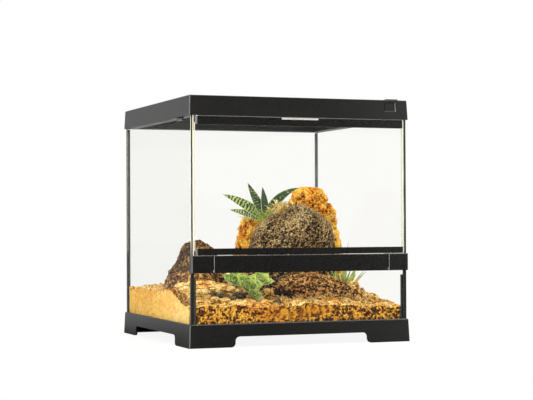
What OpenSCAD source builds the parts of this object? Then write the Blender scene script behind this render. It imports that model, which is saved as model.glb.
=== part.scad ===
// Glass terrarium with a front door, a screen lid and a furnished floor.
// Millimetres. +Z is up, -Y is the front. The origin is on the ground, under the middle of the box.

/* [Glass box] */
// Width of the glass box across the front
glass_w = 300; // [280:1:360]
// Depth of the glass box from front to back
glass_d = 300; // [280:1:360]
// Thickness of every fixed pane and of the door's pane
glass_t = 4; // [3:0.25:4.5]
// Height of the glass box, from the underside of its bottom pane to its upper edges
glass_h = 282; // [260:0.5:330]
// Gap between two panes, and between a pane and a frame
pane_gap = 0.2; // [0.1:0.05:0.3]
// Leg of the silicone bead in each inside corner
bead_leg = 3.5; // [2:0.25:4]

/* [Base frame] */
// Height of the base frame
base_h = 30; // [27:0.5:34]
// Height of the bottom pane's underside above the ground
floor_z = 18; // [17:0.5:20]
// Overhang of the base frame past the glass at its top edge
base_lip = 2.3; // [2:0.1:3]
// Extra overhang of the base frame at the ground
base_flare = 1.25; // [0.5:0.05:1.6]
// Width of the shelf under the edge of the bottom pane
shelf_w = 20; // [14:1:26]
// Thickness of that shelf
shelf_t = 3; // [2:0.25:4]
// Length of each foot along the ground, measured from its corner
foot_l = 56; // [44:1:70]
// Height of the arch between two feet
arch_h = 13.5; // [12:0.5:14]
// Radius of the two curves at each end of an arch
arch_r = 5.8; // [3:0.1:6]
// Bevel along the top edge of the base frame
base_bevel = 1.2; // [0.4:0.1:1.5]

/* [Lid] */
// How far the lid comes down over the glass
lid_lap = 6.35; // [5.5:0.05:7.5]
// Height of the ledge that the screen lies on, above the lid's lower edge
ledge_h = 15.35; // [15:0.05:18]
// Height of the lid's rim above that ledge
rim_h = 10.2; // [9.4:0.1:15]
// Overhang of the lid past the glass at its upper edge
lid_lip = 1.5; // [1.2:0.1:2]
// Extra overhang of the lid at its lower edge
lid_flare = 1.2; // [0.5:0.05:1.6]
// Bevel along the top edge of the lid
lid_bevel = 0.5; // [0.3:0.1:0.8]
// Radius of the upright corners of the lid and the base frame
corner_r = 1.75; // [1.5:0.25:4]
// Width of the lid's inner flange, measured in from the glass
flange_w = 16; // [14:0.5:20]
// Width of the lid's rim round the screen, measured in from the glass
rim_w = 5; // [4.5:0.25:6]

/* [Screen] */
// Thickness of the screen's frame
screen_t = 6; // [5:0.5:7]
// Width of the screen's frame
screen_frame_w = 14; // [12:0.5:18]
// Running gap round the screen
screen_gap = 0.6; // [0.5:0.05:0.9]
// Thickness of the mesh
mesh_t = 0.8; // [0.6:0.1:1.2]
// Gaps in the mesh along each side
mesh_n = 16; // [8:1:17]
// Width of one wire of the mesh
mesh_wire = 1.6; // [1:0.1:2.4]
// Width of the lifting tab on the screen
tab_w = 16; // [12:0.5:24]
// Thickness of the lifting tab where it lies over the lid's rim
tab_t = 1.2; // [1:0.1:2.5]

/* [Door] */
// Height of the bottom rail
bottom_rail_h = 8.2; // [7.5:0.1:12]
// Height of the top rail
top_rail_h = 10.5; // [9:0.1:14]
// Thickness of both rails
rail_t = 7.5; // [7:0.1:8]
// How far both rails stand proud of the fixed front pane
rail_proud = 2.5; // [2.2:0.05:2.8]
// Gap between the door and what lies above it
door_top_gap = 1; // [0.6:0.05:1.2]
// Gap between each end of the door and the glass beside it
door_side_gap = 1.7; // [1.5:0.1:2.5]
// Depth of the groove that holds the door's pane in each rail
groove_d = 2.8; // [2:0.1:3]
// Radius of the door's pivot pins
door_pin_r = 1.5; // [1.2:0.05:1.7]
// Length of the strike strip on the top rail
strike_l = 50.8; // [30:0.1:80]
// Place of the strike strip and its magnet, from the middle of the door
strike_x = -2; // [-10:0.5:10]

/* [Middle bar] */
// Height of the lower edge of the bar
bar_z = 94.4; // [90:0.1:100]
// Height of the bar
bar_h = 22.2; // [21:0.1:26]
// How far the bar stands proud of the fixed front pane
bar_proud = 5.5; // [5.3:0.05:6]
// Length of each end block, measured in from the side of the glass
block_l = 27.6; // [22:0.1:34]
// Width of the seam between the centre piece and each end block
seam_w = 1.4; // [1:0.1:2]
// Wall of the centre piece
bar_wall = 2; // [1.6:0.1:2.2]
// Radius of the centre piece's pivot pins
latch_pin_r = 1; // [0.8:0.05:1.1]
// Gap between the top of the bar and the door
bar_top_gap = 0.5; // [0.45:0.05:0.7]
// Pitch of the slots in the vent strip
vent_pitch = 5.4; // [4:0.2:9]

/* [Lid fittings] */
// Width of the screen's release button
button_w = 14.2; // [10:0.1:18]
// Height of the screen's release button
button_h = 10.4; // [7:0.1:11]
// Distance from the side of the glass in to the middle of the release button
button_in = 23.4; // [22:0.1:40]
// Width of each cable inlet
inlet_w = 30; // [20:1:36]
// Height of each cable inlet
inlet_h = 6; // [5:0.25:6.5]
// Distance from the side of the glass in to the middle of each cable inlet
inlet_in = 55; // [50:1:60]
// How far the shutter tracks stand proud of the glass
track_proud = 5.5; // [5.3:0.05:6]

/* [Decor] */
// Height of the bed of substrate at the front
bed_front = 51; // [44:0.5:60]
// Rise of the bed towards the back
bed_rise = 15; // [6:0.5:20]
// Height of the dome rock's peak
dome_top = 184; // [150:1:195]
// Height of the orange rock's peak
orange_top = 209; // [190:1:215]
// Height of the cone rock's peak
cone_top = 136; // [110:1:150]

/* [Hidden] */
$fn = 48;

// Running clearance between a pin and its bore
pin_fit = 0.05;
// Small clearance that keeps a seated piece off its seat
seat = 0.05;
// Length added to a cut so that it passes its face
past = 1;

half_w = glass_w / 2;
half_d = glass_d / 2;
glass_top = floor_z + glass_h;
inner_x = half_w - glass_t;
inner_y = half_d - glass_t;
pane_z = floor_z + glass_t + seat;

// Heights of the lid, the bar and the door
lid_z = glass_top - lid_lap;
ledge_z = lid_z + ledge_h;
lid_top = ledge_z + rim_h;
bar_top = bar_z + bar_h;
door_z = bar_top + bar_top_gap;

// Door: its pivot line, its ends and its rails
door_half = inner_x - door_side_gap;
rail_y0 = -half_d - rail_proud;
rail_y1 = rail_y0 + rail_t;
pivot_x = -door_half + rail_t / 2;
pivot_y = rail_y0 + rail_t / 2;
door_top = lid_z - door_top_gap;
top_rail_z = door_top - top_rail_h;
door_pane_y0 = pivot_y - glass_t / 2;
door_pane_z0 = door_z + bottom_rail_h - groove_d;
door_pane_z1 = top_rail_z + groove_d;
pin_in_rail = 4;
pin_in_block = 7;
pin_end_gap = 0.6;
pull_l = 35;
pull_cut = 1.8;

// Middle bar
bar_y = -half_d - bar_proud;
block_lip = 0.4;
block_lip_l = 4.5;
block_tongue = 9;
block_r = 1.9;
block_inner = half_w - block_l;
latch_half = block_inner - seam_w;
latch_y1 = -half_d - 2.1;
bar_chamfer = 0.7;
end_chamfer = 0.6;
latch_pivot_y = latch_y1 - 1.1;
latch_pivot_z = bar_z + 2.2;
latch_pin_in = 4.5;
end_wall = 3;
low_pane_top = bar_z + 2.6;
channel_t = 1.7;
channel_lip = 0.9;
channel_grip = 2.8;
channel_half = block_inner - seat;
sill_z = bar_top - 0.2;
post_w = 4;
vent_t = 0.8;
vent_y = -inner_y - 0.5;

// Lid and screen
lid_h = lid_top - lid_z;
flange_x = half_w - flange_w;
flange_y = half_d - flange_w;
rim_x = half_w - rim_w;
rim_y = half_d - rim_w;
screen_x = rim_x - screen_gap;
screen_y0 = -rim_y + screen_gap;
screen_z = ledge_z + 0.2;
screen_y1 = rim_y - screen_gap;
hinge_y = screen_y1 - screen_t / 2;
hinge_z = screen_z + screen_t / 2;
hinge_pin_r = 1.5;
hinge_pin_in = 3;
mesh_x = screen_x - screen_frame_w / 2;
mesh_y0 = screen_y0 + screen_frame_w / 2;
mesh_y1 = screen_y1 - screen_frame_w / 2;
mesh_z = screen_z + screen_t / 2 - mesh_t / 2;
lug_l = 22;
lug_y = -98;
lug_h = 4;
lug_t = 3;
lug_gap = 0.4;

// Release button
button_x = half_w - button_in;
button_z = screen_z + 1;
button_inset = 0.85;
button_mouth = 1.5;
tab_shift = 3.6;
button_t = 3.4;
button_travel = 1.5;
button_gap = 0.25;
button_y = -half_d - lid_lip - lid_flare / 2 + button_inset;
stem_r = 1.6;
pocket_floor = button_y + button_t + button_travel + 0.3;

// Cable inlets
inlet_x = half_w - inlet_in;
inlet_z = glass_top + 1.2;
track_y = half_d + lid_lip + lid_flare + 0.15;
track_end = half_d + track_proud;
shutter_t = 1.3;
shutter_gap = 0.2;
shutter_l = inlet_w + 8;
shutter_h = inlet_h + 2.4;
shutter_travel = inlet_w + 2;
ridge_gap = 0.3;
track_lip = 1;
track_wall = 1.6;

// Decor
decor_half = 146;
decor_x = inner_x / decor_half;
decor_y = inner_y / decor_half;
bed_n = 28;
bed_fall = 6;
bed_ramp = 110;
mound_h = 9;
mound_at = [-98, -62];
mound_half = [48, 42];
bed_gap = 0.4;
rock_gap = 0.05;
golden = 137.5;

// Rocks: the middle of the base in plan, the half widths there, and the lean of the peak
dome_at = [46, 2];
dome_half = [72, 58];
dome_lean = [-4, -14];
cone_at = [-84, 28];
cone_half = [47, 42];
cone_lean = [-3, -4];
ledge_at = [-110, -24];
ledge_half = [33, 27];
ledge_lean = [-1, 4];
ledge_rise = 41;
peak_at = [93, 48];
peak_half = [49, 38];
peak_lean = [-2, -2];
lobe_at = [15, 52];
lobe_half = [42, 30];
lobe_lean = [-8, -6];
lobe_drop = 42;
low_at = [50, -74];
low_half = [66, 30];
low_lean = [-14, 6];
low_rise = 40;

// Plants
striped_at = [10, 6];
striped_sink = 24;
striped_leaf_w = 17;
striped_leaf_t = 5;
stalk_r = 3;
blade_at = [104, -42];
blade_w = 6;
blade_t = 2.4;
blade_l = 46;
blade_step = 5;
tall_blade_l = 90;

function smooth(t) = let (u = min(1, max(0, t))) u * u * (3 - 2 * u);

// A plan size of the decor, fitted to the box
function fitted(p) = [p[0] * decor_x, p[1] * decor_y];

// ---------------------------------------------------------------- shared shapes

// A cuboid from its low corner to its high corner
module span(low, high) translate(low) cube(high - low);

// Plan of a block with rounded corners
module block_outline(half_x, half_y) offset(r = corner_r, $fn = 24)
    square([2 * (half_x - corner_r), 2 * (half_y - corner_r)], center = true);

// A block with rounded upright corners, narrower at the top by the flare on each side and bevelled
// along its top edge
module flared_block(half_x, half_y, flare, h, bevel) {
    top_x = half_x - flare;
    top_y = half_y - flare;
    linear_extrude(height = h - bevel, scale = [top_x / half_x, top_y / half_y])
        block_outline(half_x, half_y);
    translate([0, 0, h - bevel])
        linear_extrude(height = bevel, scale = [(top_x - bevel) / top_x, (top_y - bevel) / top_y])
            scale([top_x / half_x, top_y / half_y]) block_outline(half_x, half_y);
}

// Bar with a square section, turned on its edge, that bevels an edge along X or an upright edge
module edge_cutter(length, bevel) cube([length, bevel * sqrt(2), bevel * sqrt(2)], center = true);

// A profile drawn in Y and Z, carried along X from -half to half
module along_x(half) {
    rotate([90, 0, 90]) translate([0, 0, -half]) linear_extrude(height = 2 * half) children();
}

// ---------------------------------------------------------------- base frame

// Outline of the arch between two feet: each foot's end rounds up into a short wall, and the wall
// rounds over into the arch
module arch_outline(half) {
    steps = 6;
    low = half - foot_l;
    turns = [for (i = [0:steps]) 90 * i / steps];
    end = concat(
        [for (a = turns) [low - arch_r * sin(a), arch_r - arch_r * cos(a)]],
        [for (a = turns) [low - 2 * arch_r + arch_r * cos(a), arch_h - arch_r + arch_r * sin(a)]]);
    polygon(concat([[-low - past, -past], [low + past, -past], [low + past, 0]], end,
        [for (i = [len(end) - 1:-1:0]) [-end[i][0], end[i][1]]], [[-low - past, 0]]));
}

module arch_cuts() {
    out_x = half_w + base_lip + base_flare;
    out_y = half_d + base_lip + base_flare;
    rotate([90, 0, 0]) translate([0, 0, -out_y - past])
        linear_extrude(height = 2 * (out_y + past)) arch_outline(out_x);
    rotate([90, 0, 90]) translate([0, 0, -out_x - past])
        linear_extrude(height = 2 * (out_x + past)) arch_outline(out_y);
}

module base_frame() color([0.13, 0.13, 0.12]) difference() {
    flared_block(half_w + base_lip + base_flare, half_d + base_lip + base_flare, base_flare, base_h,
        base_bevel);
    // seat of the glass box
    span([-half_w - pane_gap, -half_d - pane_gap, floor_z],
        [half_w + pane_gap, half_d + pane_gap, base_h + past]);
    // opening inside the shelf
    span([-half_w + shelf_w, -half_d + shelf_w, -past],
        [half_w - shelf_w, half_d - shelf_w, floor_z + past]);
    // hollow behind the skirt
    span([-half_w - 0.5, -half_d - 0.5, -past], [half_w + 0.5, half_d + 0.5, floor_z - shelf_t]);
    arch_cuts();
}

// ---------------------------------------------------------------- panes

module bottom_glass() color([0.75, 0.9, 0.85, 0.4])
    span([-half_w, -half_d, floor_z + seat], [half_w, half_d, pane_z - seat]);

module back_glass() color([0.75, 0.9, 0.85, 0.4])
    span([-half_w, inner_y, pane_z], [half_w, half_d, glass_top]);

module side_pane()
    span([inner_x, -half_d, pane_z], [half_w, inner_y - pane_gap, glass_top]);

module left_glass() color([0.75, 0.9, 0.85, 0.4]) mirror([1, 0, 0]) side_pane();

module right_glass() color([0.75, 0.9, 0.85, 0.4]) side_pane();

module lower_front_glass() color([0.75, 0.9, 0.85, 0.4])
    span([-inner_x + pane_gap, -half_d, pane_z], [inner_x - pane_gap, -inner_y, low_pane_top]);

// A three-cornered bead with its right angle at the origin, along +Z
module bead(length)
    linear_extrude(height = length) polygon([[0, 0], [bead_leg, 0], [0, bead_leg]]);

module silicone_seams() color([0.08, 0.08, 0.08]) {
    x = inner_x - seat;
    y = inner_y - seat;
    for (side = [0, 1]) mirror([side, 0, 0]) {
        translate([-x, y, pane_z]) mirror([0, 1, 0]) bead(lid_z - pane_z - 1);
        translate([-x, -y, pane_z]) bead(bar_z - pane_z - 6);
        // joint between the low pane's end and the side pane
        span([-inner_x + seat / 2, -half_d, pane_z],
            [-inner_x + pane_gap - seat / 2, -inner_y - seat, low_pane_top]);
    }
}

// ---------------------------------------------------------------- lid

module inlet_cuts() for (side = [-1, 1]) {
    span([side * inlet_x - inlet_w / 2, flange_y - past, inlet_z],
        [side * inlet_x + inlet_w / 2, track_end + past, inlet_z + inlet_h]);
}

// Track of one shutter on the back of the lid, for the inlet on the +X side
module shutter_track() {
    low = inlet_x - shutter_l / 2 - shutter_travel - 2;
    high = inlet_x + shutter_l / 2 + 2;
    mid = inlet_z + inlet_h / 2;
    half = shutter_h / 2 + shutter_gap;
    span([low, half_d + 1, mid - half - track_wall], [high, track_y, mid + half + track_wall]);
    for (up = [-1, 1]) {
        wall = [mid + up * half, mid + up * (half + track_wall)];
        span([low, half_d + 1, min(wall)], [high, track_end, max(wall)]);
        lip = [mid + up * (half + track_wall), mid + up * (half - track_lip)];
        span([low, track_y + shutter_t + 2 * shutter_gap, min(lip)], [high, track_end, max(lip)]);
    }
    // stops at both ends
    for (x = [low - track_wall, high])
        span([x, half_d + 1, mid - half - track_wall],
            [x + track_wall, track_end, mid + half + track_wall]);
}

module lid_frame() color([0.15, 0.15, 0.14]) difference() {
    union() {
        translate([0, 0, lid_z])
            flared_block(half_w + lid_lip + lid_flare, half_d + lid_lip + lid_flare, lid_flare, lid_h,
                lid_bevel);
        for (side = [0, 1]) mirror([side, 0, 0]) {
            shutter_track();
            // lug that holds the side pane from inside
            span([inner_x - lug_t - lug_gap, lug_y - lug_l / 2, lid_z - lug_h],
                [inner_x - lug_gap, lug_y + lug_l / 2, lid_z + past]);
        }
    }
    // opening inside the flange
    span([-flange_x, -flange_y, lid_z - past], [flange_x, flange_y, ledge_z + past]);
    // recess of the screen
    span([-rim_x, -rim_y, ledge_z], [rim_x, rim_y, lid_top + past]);
    // slots of the side panes and the back pane
    for (side = [0, 1]) mirror([side, 0, 0])
        span([inner_x - pane_gap, -half_d - pane_gap, lid_z - past],
            [half_w + pane_gap, half_d + pane_gap, glass_top + pane_gap]);
    span([-half_w, inner_y - pane_gap, lid_z - past], [half_w, half_d + pane_gap, glass_top + pane_gap]);
    // bore of the door's upper pivot
    translate([pivot_x, pivot_y, lid_z - past])
        cylinder(r = door_pin_r + pin_fit, h = pin_in_block + pin_end_gap + past);
    // bores of the screen's hinge
    translate([-rim_x - hinge_pin_in - pin_end_gap, hinge_y, hinge_z]) rotate([0, 90, 0])
        cylinder(r = hinge_pin_r + pin_fit, h = 2 * (rim_x + hinge_pin_in + pin_end_gap));
    // pocket and bore of the release button, with a mouth that widens outwards
    span([button_x - button_w / 2 - button_gap, -half_d - 2 * lid_lip - lid_flare - past,
            button_z - button_h / 2 - button_gap],
        [button_x + button_w / 2 + button_gap, pocket_floor, button_z + button_h / 2 + button_gap]);
    translate([button_x, -half_d - lid_lip - lid_flare, button_z]) rotate([-90, 0, 0])
        linear_extrude(height = button_mouth, scale = [button_w / (button_w + 2 * button_mouth),
                button_h / (button_h + 2 * button_mouth)])
            square([button_w + 2 * (button_mouth + button_gap),
                button_h + 2 * (button_mouth + button_gap)], center = true);
    translate([button_x, pocket_floor - past, button_z]) rotate([-90, 0, 0])
        cylinder(r = stem_r + pin_fit, h = 6);
    // pocket of the door's magnet
    magnet_block(0.1, past);
    inlet_cuts();
}

// Bar magnet above the strike strip, grown by a clearance and let out of the lid's underside
module magnet_block(grow, below) {
    span([strike_x - strike_l / 2 + 5 - grow, rail_y0 + 1.5 - grow, lid_z + 0.1 - below],
        [strike_x + strike_l / 2 - 5 + grow, rail_y1 - 1.5 + grow, lid_z + 4 + grow]);
}

module lid_magnet() color([0.6, 0.6, 0.62]) magnet_block(0, 0);

// ---------------------------------------------------------------- middle bar

// Plan of the right end block's front, with its lip round the side pane
module block_plan() {
    out = half_w + pane_gap + block_lip;
    steps = 6;
    polygon(concat(
        [[block_inner, -half_d - pane_gap], [block_inner, bar_y]],
        [for (i = [0:steps]) let (a = -90 + 90 * i / steps)
            [out - block_r + block_r * cos(a), bar_y + block_r + block_r * sin(a)]],
        [[out, -half_d + block_lip_l], [half_w + pane_gap, -half_d + block_lip_l],
            [half_w + pane_gap, -half_d - pane_gap]]));
}

module end_block() {
    difference() {
        union() {
            translate([0, 0, bar_z]) linear_extrude(height = bar_top - bar_z) block_plan();
            // tongue between the side pane and the vent
            span([block_inner, -half_d - pane_gap - seat, low_pane_top + pane_gap],
                [inner_x - pane_gap, -half_d + block_tongue, bar_top]);
        }
        // sloping front edges like those of the centre piece
        for (z = [bar_z, bar_top]) translate([0, bar_y, z]) rotate([45, 0, 0])
            edge_cutter(3 * half_w, bar_chamfer);
        // small bevel beside the seam
        translate([block_inner, bar_y, bar_z]) rotate([0, 90, 0]) rotate([45, 0, 0])
            edge_cutter(3 * bar_h, end_chamfer);
        // bore of the centre piece's pivot
        translate([block_inner - past, latch_pivot_y, latch_pivot_z]) rotate([0, 90, 0])
            cylinder(r = latch_pin_r + pin_fit, h = past + latch_pin_in + pin_end_gap);
    }
}

module bar_end_block_left() color([0.07, 0.07, 0.07]) difference() {
    mirror([1, 0, 0]) end_block();
    translate([pivot_x, pivot_y, bar_top - pin_in_block - pin_end_gap])
        cylinder(r = door_pin_r + pin_fit, h = pin_in_block + pin_end_gap + past);
}

module bar_end_block_right() color([0.07, 0.07, 0.07]) difference() {
    end_block();
    // shallow round mark of the moulding
    translate([half_w - 8, bar_y + 0.4, bar_z + 6]) rotate([90, 0, 0]) cylinder(r = 3, h = 2);
}

module bar_channel() color([0.08, 0.08, 0.08]) {
    back = -inner_y + pane_gap;
    front = -half_d - pane_gap;
    web = low_pane_top + pane_gap;
    along_x(channel_half) polygon([[front - channel_lip, web - 2], [front, web - 2], [front, web],
        [back, web], [back, web - channel_grip], [back + channel_t, web - channel_grip],
        [back + channel_t, web + 2],
        [front - channel_lip, web + 2]]);
    span([-channel_half, front - channel_lip, sill_z - 1.6], [channel_half, back + channel_t, sill_z]);
    for (x = [-channel_half, -post_w / 2, channel_half - post_w])
        span([x, -half_d, web + 1], [x + post_w, vent_y - seat, sill_z - 1]);
}

module vent_strip() color([0.55, 0.56, 0.57]) {
    low = low_pane_top + pane_gap + 2 + seat;
    high = sill_z - 1.6 - seat;
    count = floor((2 * channel_half - 8) / vent_pitch);
    difference() {
        span([-channel_half + seat, vent_y, low], [channel_half - seat, vent_y + vent_t, high]);
        for (i = [0:count - 1]) translate([(i - (count - 1) / 2) * vent_pitch, 0, 0]) {
            span([-1, vent_y - past, low + 4], [1, vent_y + vent_t + past, high - 4]);
            for (z = [low + 4, high - 4]) translate([0, vent_y - past, z]) rotate([-90, 0, 0])
                cylinder(r = 1, h = vent_t + 2 * past, $fn = 24);
        }
    }
}

// ---------------------------------------------------------------- door

// A rail from the round hinge end to the square free end
module rail(z, h) {
    span([pivot_x, rail_y0, z], [door_half, rail_y1, z + h]);
    translate([pivot_x, pivot_y, z]) cylinder(r = rail_t / 2, h = h);
}

// The door's pane, grown by a clearance for the grooves
module door_pane(grow)
    span([-door_half - grow, door_pane_y0 - grow, door_pane_z0 - grow],
        [door_half + grow, door_pane_y0 + glass_t + grow, door_pane_z1 + grow]);

module door_glass() color([0.75, 0.9, 0.85, 0.4]) door_pane(0);

module door_top_rail() color([0.09, 0.09, 0.09]) difference() {
    rail(top_rail_z, top_rail_h);
    door_pane(seat);
    strike(seat, past);
    translate([pivot_x, pivot_y, door_top - pin_in_rail])
        cylinder(r = door_pin_r, h = pin_in_rail + past);
    // finger pull at the free end of the top edge
    translate([door_half, rail_y0, door_top]) rotate([45, 0, 0])
        cube([2 * pull_l, pull_cut, pull_cut], center = true);
}

module door_bottom_rail() color([0.09, 0.09, 0.09]) difference() {
    rail(door_z, bottom_rail_h);
    door_pane(seat);
    translate([pivot_x, pivot_y, door_z - past]) cylinder(r = door_pin_r, h = pin_in_rail + past);
}

module door_pivot_pins() color([0.7, 0.7, 0.72]) {
    translate([pivot_x, pivot_y, bar_top - pin_in_block])
        cylinder(r = door_pin_r, h = pin_in_block + bar_top_gap + pin_in_rail);
    translate([pivot_x, pivot_y, door_top - pin_in_rail])
        cylinder(r = door_pin_r, h = pin_in_rail + door_top_gap + pin_in_block);
}

// Angle strip on the top front edge of the top rail, grown by a clearance outwards past the edge
module strike(grow, out) {
    t = 0.8;
    x0 = strike_x - strike_l / 2 - grow;
    x1 = strike_x + strike_l / 2 + grow;
    span([x0, rail_y0 - out, door_top - 2.3 - grow], [x1, rail_y0 + t + grow, door_top + out]);
    span([x0, rail_y0 - out, door_top - t - grow], [x1, rail_y0 + rail_t - 2.5 + grow, door_top + out]);
}

module door_strike_strip() color([0.8, 0.8, 0.8]) strike(0, 0.1);

// ---------------------------------------------------------------- latch

module latch_bar() color([0.12, 0.12, 0.12]) difference() {
    union() {
        along_x(latch_half) polygon([[bar_y + bar_chamfer, bar_top], [latch_y1, bar_top],
            [latch_y1, bar_top - bar_wall], [bar_y + bar_wall, bar_top - bar_wall],
            [bar_y + bar_wall, bar_z + bar_wall / 2], [latch_y1, bar_z + bar_wall / 2], [latch_y1, bar_z],
            [bar_y + bar_chamfer, bar_z], [bar_y, bar_z + bar_chamfer], [bar_y, bar_top - bar_chamfer]]);
        for (side = [0, 1]) mirror([side, 0, 0])
            span([latch_half - end_wall, bar_y + 1, bar_z + 0.5], [latch_half, latch_y1, bar_top - 1]);
    }
    for (side = [-1, 1]) translate([side * latch_half, bar_y, bar_z]) rotate([0, 90, 0]) rotate([45, 0, 0])
        edge_cutter(3 * bar_h, end_chamfer);
    translate([-latch_half - past, latch_pivot_y, latch_pivot_z]) rotate([0, 90, 0])
        cylinder(r = latch_pin_r, h = 2 * (latch_half + past));
}

module latch_pins() color([0.7, 0.7, 0.72]) for (side = [0, 1]) mirror([side, 0, 0])
    translate([latch_half - end_wall, latch_pivot_y, latch_pivot_z]) rotate([0, 90, 0])
        cylinder(r = latch_pin_r, h = end_wall + seam_w + latch_pin_in);

module latch_magnets() color([0.6, 0.6, 0.62]) for (side = [-1, 1])
    translate([side * latch_half / 2, bar_y + bar_wall, (bar_z + bar_top) / 2]) rotate([-90, 0, 0])
        cylinder(r = 4, h = latch_y1 - bar_y - bar_wall);

// ---------------------------------------------------------------- screen

module screen_frame() color([0.12, 0.12, 0.12]) difference() {
    union() {
        span([-screen_x, screen_y0, screen_z], [screen_x, hinge_y, screen_z + screen_t]);
        translate([-screen_x, hinge_y, hinge_z]) rotate([0, 90, 0])
            cylinder(r = screen_t / 2, h = 2 * screen_x);
        // lifting tab that lies over the lid's rim
        for (part = [[screen_y0, screen_z + 1], [-half_d - 1, lid_top + 0.2]])
            span([button_x + tab_shift - tab_w / 2, part[0], part[1]],
                [button_x + tab_shift + tab_w / 2, screen_y0 + 3, lid_top + tab_t]);
    }
    span([-mesh_x + screen_frame_w / 2, mesh_y0 + screen_frame_w / 2, screen_z - past],
        [mesh_x - screen_frame_w / 2, mesh_y1 - screen_frame_w / 2, screen_z + screen_t + past]);
    // groove of the mesh
    span([-mesh_x - seat, mesh_y0 - seat, mesh_z - seat],
        [mesh_x + seat, mesh_y1 + seat, mesh_z + mesh_t + seat]);
    translate([-screen_x - past, hinge_y, hinge_z]) rotate([0, 90, 0])
        cylinder(r = hinge_pin_r, h = past + hinge_pin_in);
    translate([screen_x - hinge_pin_in, hinge_y, hinge_z]) rotate([0, 90, 0])
        cylinder(r = hinge_pin_r, h = past + hinge_pin_in);
}

module screen_mesh() color([0.25, 0.25, 0.26]) {
    low = [-mesh_x + screen_frame_w / 2, mesh_y0 + screen_frame_w / 2];
    high = [mesh_x - screen_frame_w / 2, mesh_y1 - screen_frame_w / 2];
    pitch = [(high[0] - low[0] - mesh_wire) / mesh_n, (high[1] - low[1] - mesh_wire) / mesh_n];
    translate([0, 0, mesh_z]) linear_extrude(height = mesh_t) difference() {
        translate([-mesh_x, mesh_y0]) square([2 * mesh_x, mesh_y1 - mesh_y0]);
        for (i = [0:mesh_n - 1]) for (j = [0:mesh_n - 1])
            translate([low[0] + mesh_wire + i * pitch[0], low[1] + mesh_wire + j * pitch[1]])
                square([pitch[0] - mesh_wire, pitch[1] - mesh_wire]);
    }
}

module screen_hinge_pins() color([0.7, 0.7, 0.72]) for (side = [0, 1]) mirror([side, 0, 0])
    translate([screen_x - hinge_pin_in, hinge_y, hinge_z]) rotate([0, 90, 0])
        cylinder(r = hinge_pin_r, h = 2 * hinge_pin_in + screen_gap);

module screen_button() color([0.14, 0.14, 0.13]) {
    span([button_x - button_w / 2, button_y, button_z - button_h / 2],
        [button_x + button_w / 2, button_y + button_t, button_z + button_h / 2]);
    translate([button_x, button_y + button_t - 1, button_z]) rotate([-90, 0, 0])
        cylinder(r = stem_r, h = -rim_y - button_travel - 0.2 - button_y - button_t + 1 + screen_gap);
}

// ---------------------------------------------------------------- cable shutters

module cable_shutter() {
    mid = inlet_z + inlet_h / 2;
    span([inlet_x - shutter_l / 2, track_y + shutter_gap, mid - shutter_h / 2],
        [inlet_x + shutter_l / 2, track_y + shutter_gap + shutter_t, mid + shutter_h / 2]);
    // finger ridges
    for (i = [-1:1]) span([inlet_x + 4 * i - 0.8, track_y + shutter_gap + shutter_t - 0.5, mid - 2.5],
        [inlet_x + 4 * i + 0.8, track_end - ridge_gap, mid + 2.5]);
}

module cable_shutter_left() color([0.15, 0.15, 0.14]) mirror([1, 0, 0]) cable_shutter();

module cable_shutter_right() color([0.15, 0.15, 0.14]) cable_shutter();

// ---------------------------------------------------------------- decor

// Height of the bed at a place: low along the front, higher behind, lower at the right, with lumps
function bed_z(x, y) = bed_front + bed_rise * smooth((y + inner_y) / (bed_ramp * decor_y))
    - bed_fall * smooth((x / decor_x - 40) / 100)
    + mound_h * exp(-pow((x / decor_x - mound_at[0]) / mound_half[0], 2)
        - pow((y / decor_y - mound_at[1]) / mound_half[1], 2))
    + 1.6 * sin(3.1 * x + 40) * cos(2.7 * y) + 1.1 * sin(7.3 * x + 5.1 * y) + 0.8 * cos(11 * x - 9 * y);

// Plan place of a grid point of the bed, with its four corners drawn in past the beads
function bed_place(i, j) = let (
        u = 2 * i / bed_n - 1, v = 2 * j / bed_n - 1,
        cut = (abs(u) == 1 && abs(v) == 1) ? bead_leg : 0)
    [u * (inner_x - bed_gap - cut), v * (inner_y - bed_gap - cut)];

// Grid indices round the edge of the bed, anticlockwise from the front left corner
function bed_edge() = concat([for (i = [0:bed_n - 1]) [i, 0]], [for (j = [0:bed_n - 1]) [bed_n, j]],
    [for (i = [bed_n:-1:1]) [i, bed_n]], [for (j = [bed_n:-1:1]) [0, j]]);

module bed_solid() {
    m = bed_n + 1;
    top = [for (j = [0:bed_n]) for (i = [0:bed_n]) let (p = bed_place(i, j)) [p[0], p[1], bed_z(p[0], p[1])]];
    edge = bed_edge();
    count = len(edge);
    base = len(top);
    low = [for (e = edge) let (p = bed_place(e[0], e[1])) [p[0], p[1], pane_z + seat]];
    centre = base + count;
    top_faces = [for (j = [0:bed_n - 1]) for (i = [0:bed_n - 1]) for (half = [0, 1])
        half == 0 ? [j * m + i, (j + 1) * m + i, j * m + i + 1]
                  : [j * m + i + 1, (j + 1) * m + i, (j + 1) * m + i + 1]];
    side_faces = [for (k = [0:count - 1]) for (half = [0, 1]) let (n = (k + 1) % count,
            a = edge[k][1] * m + edge[k][0], b = edge[n][1] * m + edge[n][0])
        half == 0 ? [a, b, base + k] : [b, base + n, base + k]];
    low_faces = [for (k = [0:count - 1]) [base + k, base + (k + 1) % count, centre]];
    polyhedron(concat(top, low, [[0, 0, pane_z + seat]]), concat(top_faces, side_faces, low_faces));
}

module substrate_bed() color([0.85, 0.65, 0.3]) bed_solid();

// Removes the bed, raised by the rock gap, from the children
module above_bed() difference() {
    children();
    translate([0, 0, rock_gap]) bed_solid();
}

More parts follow.
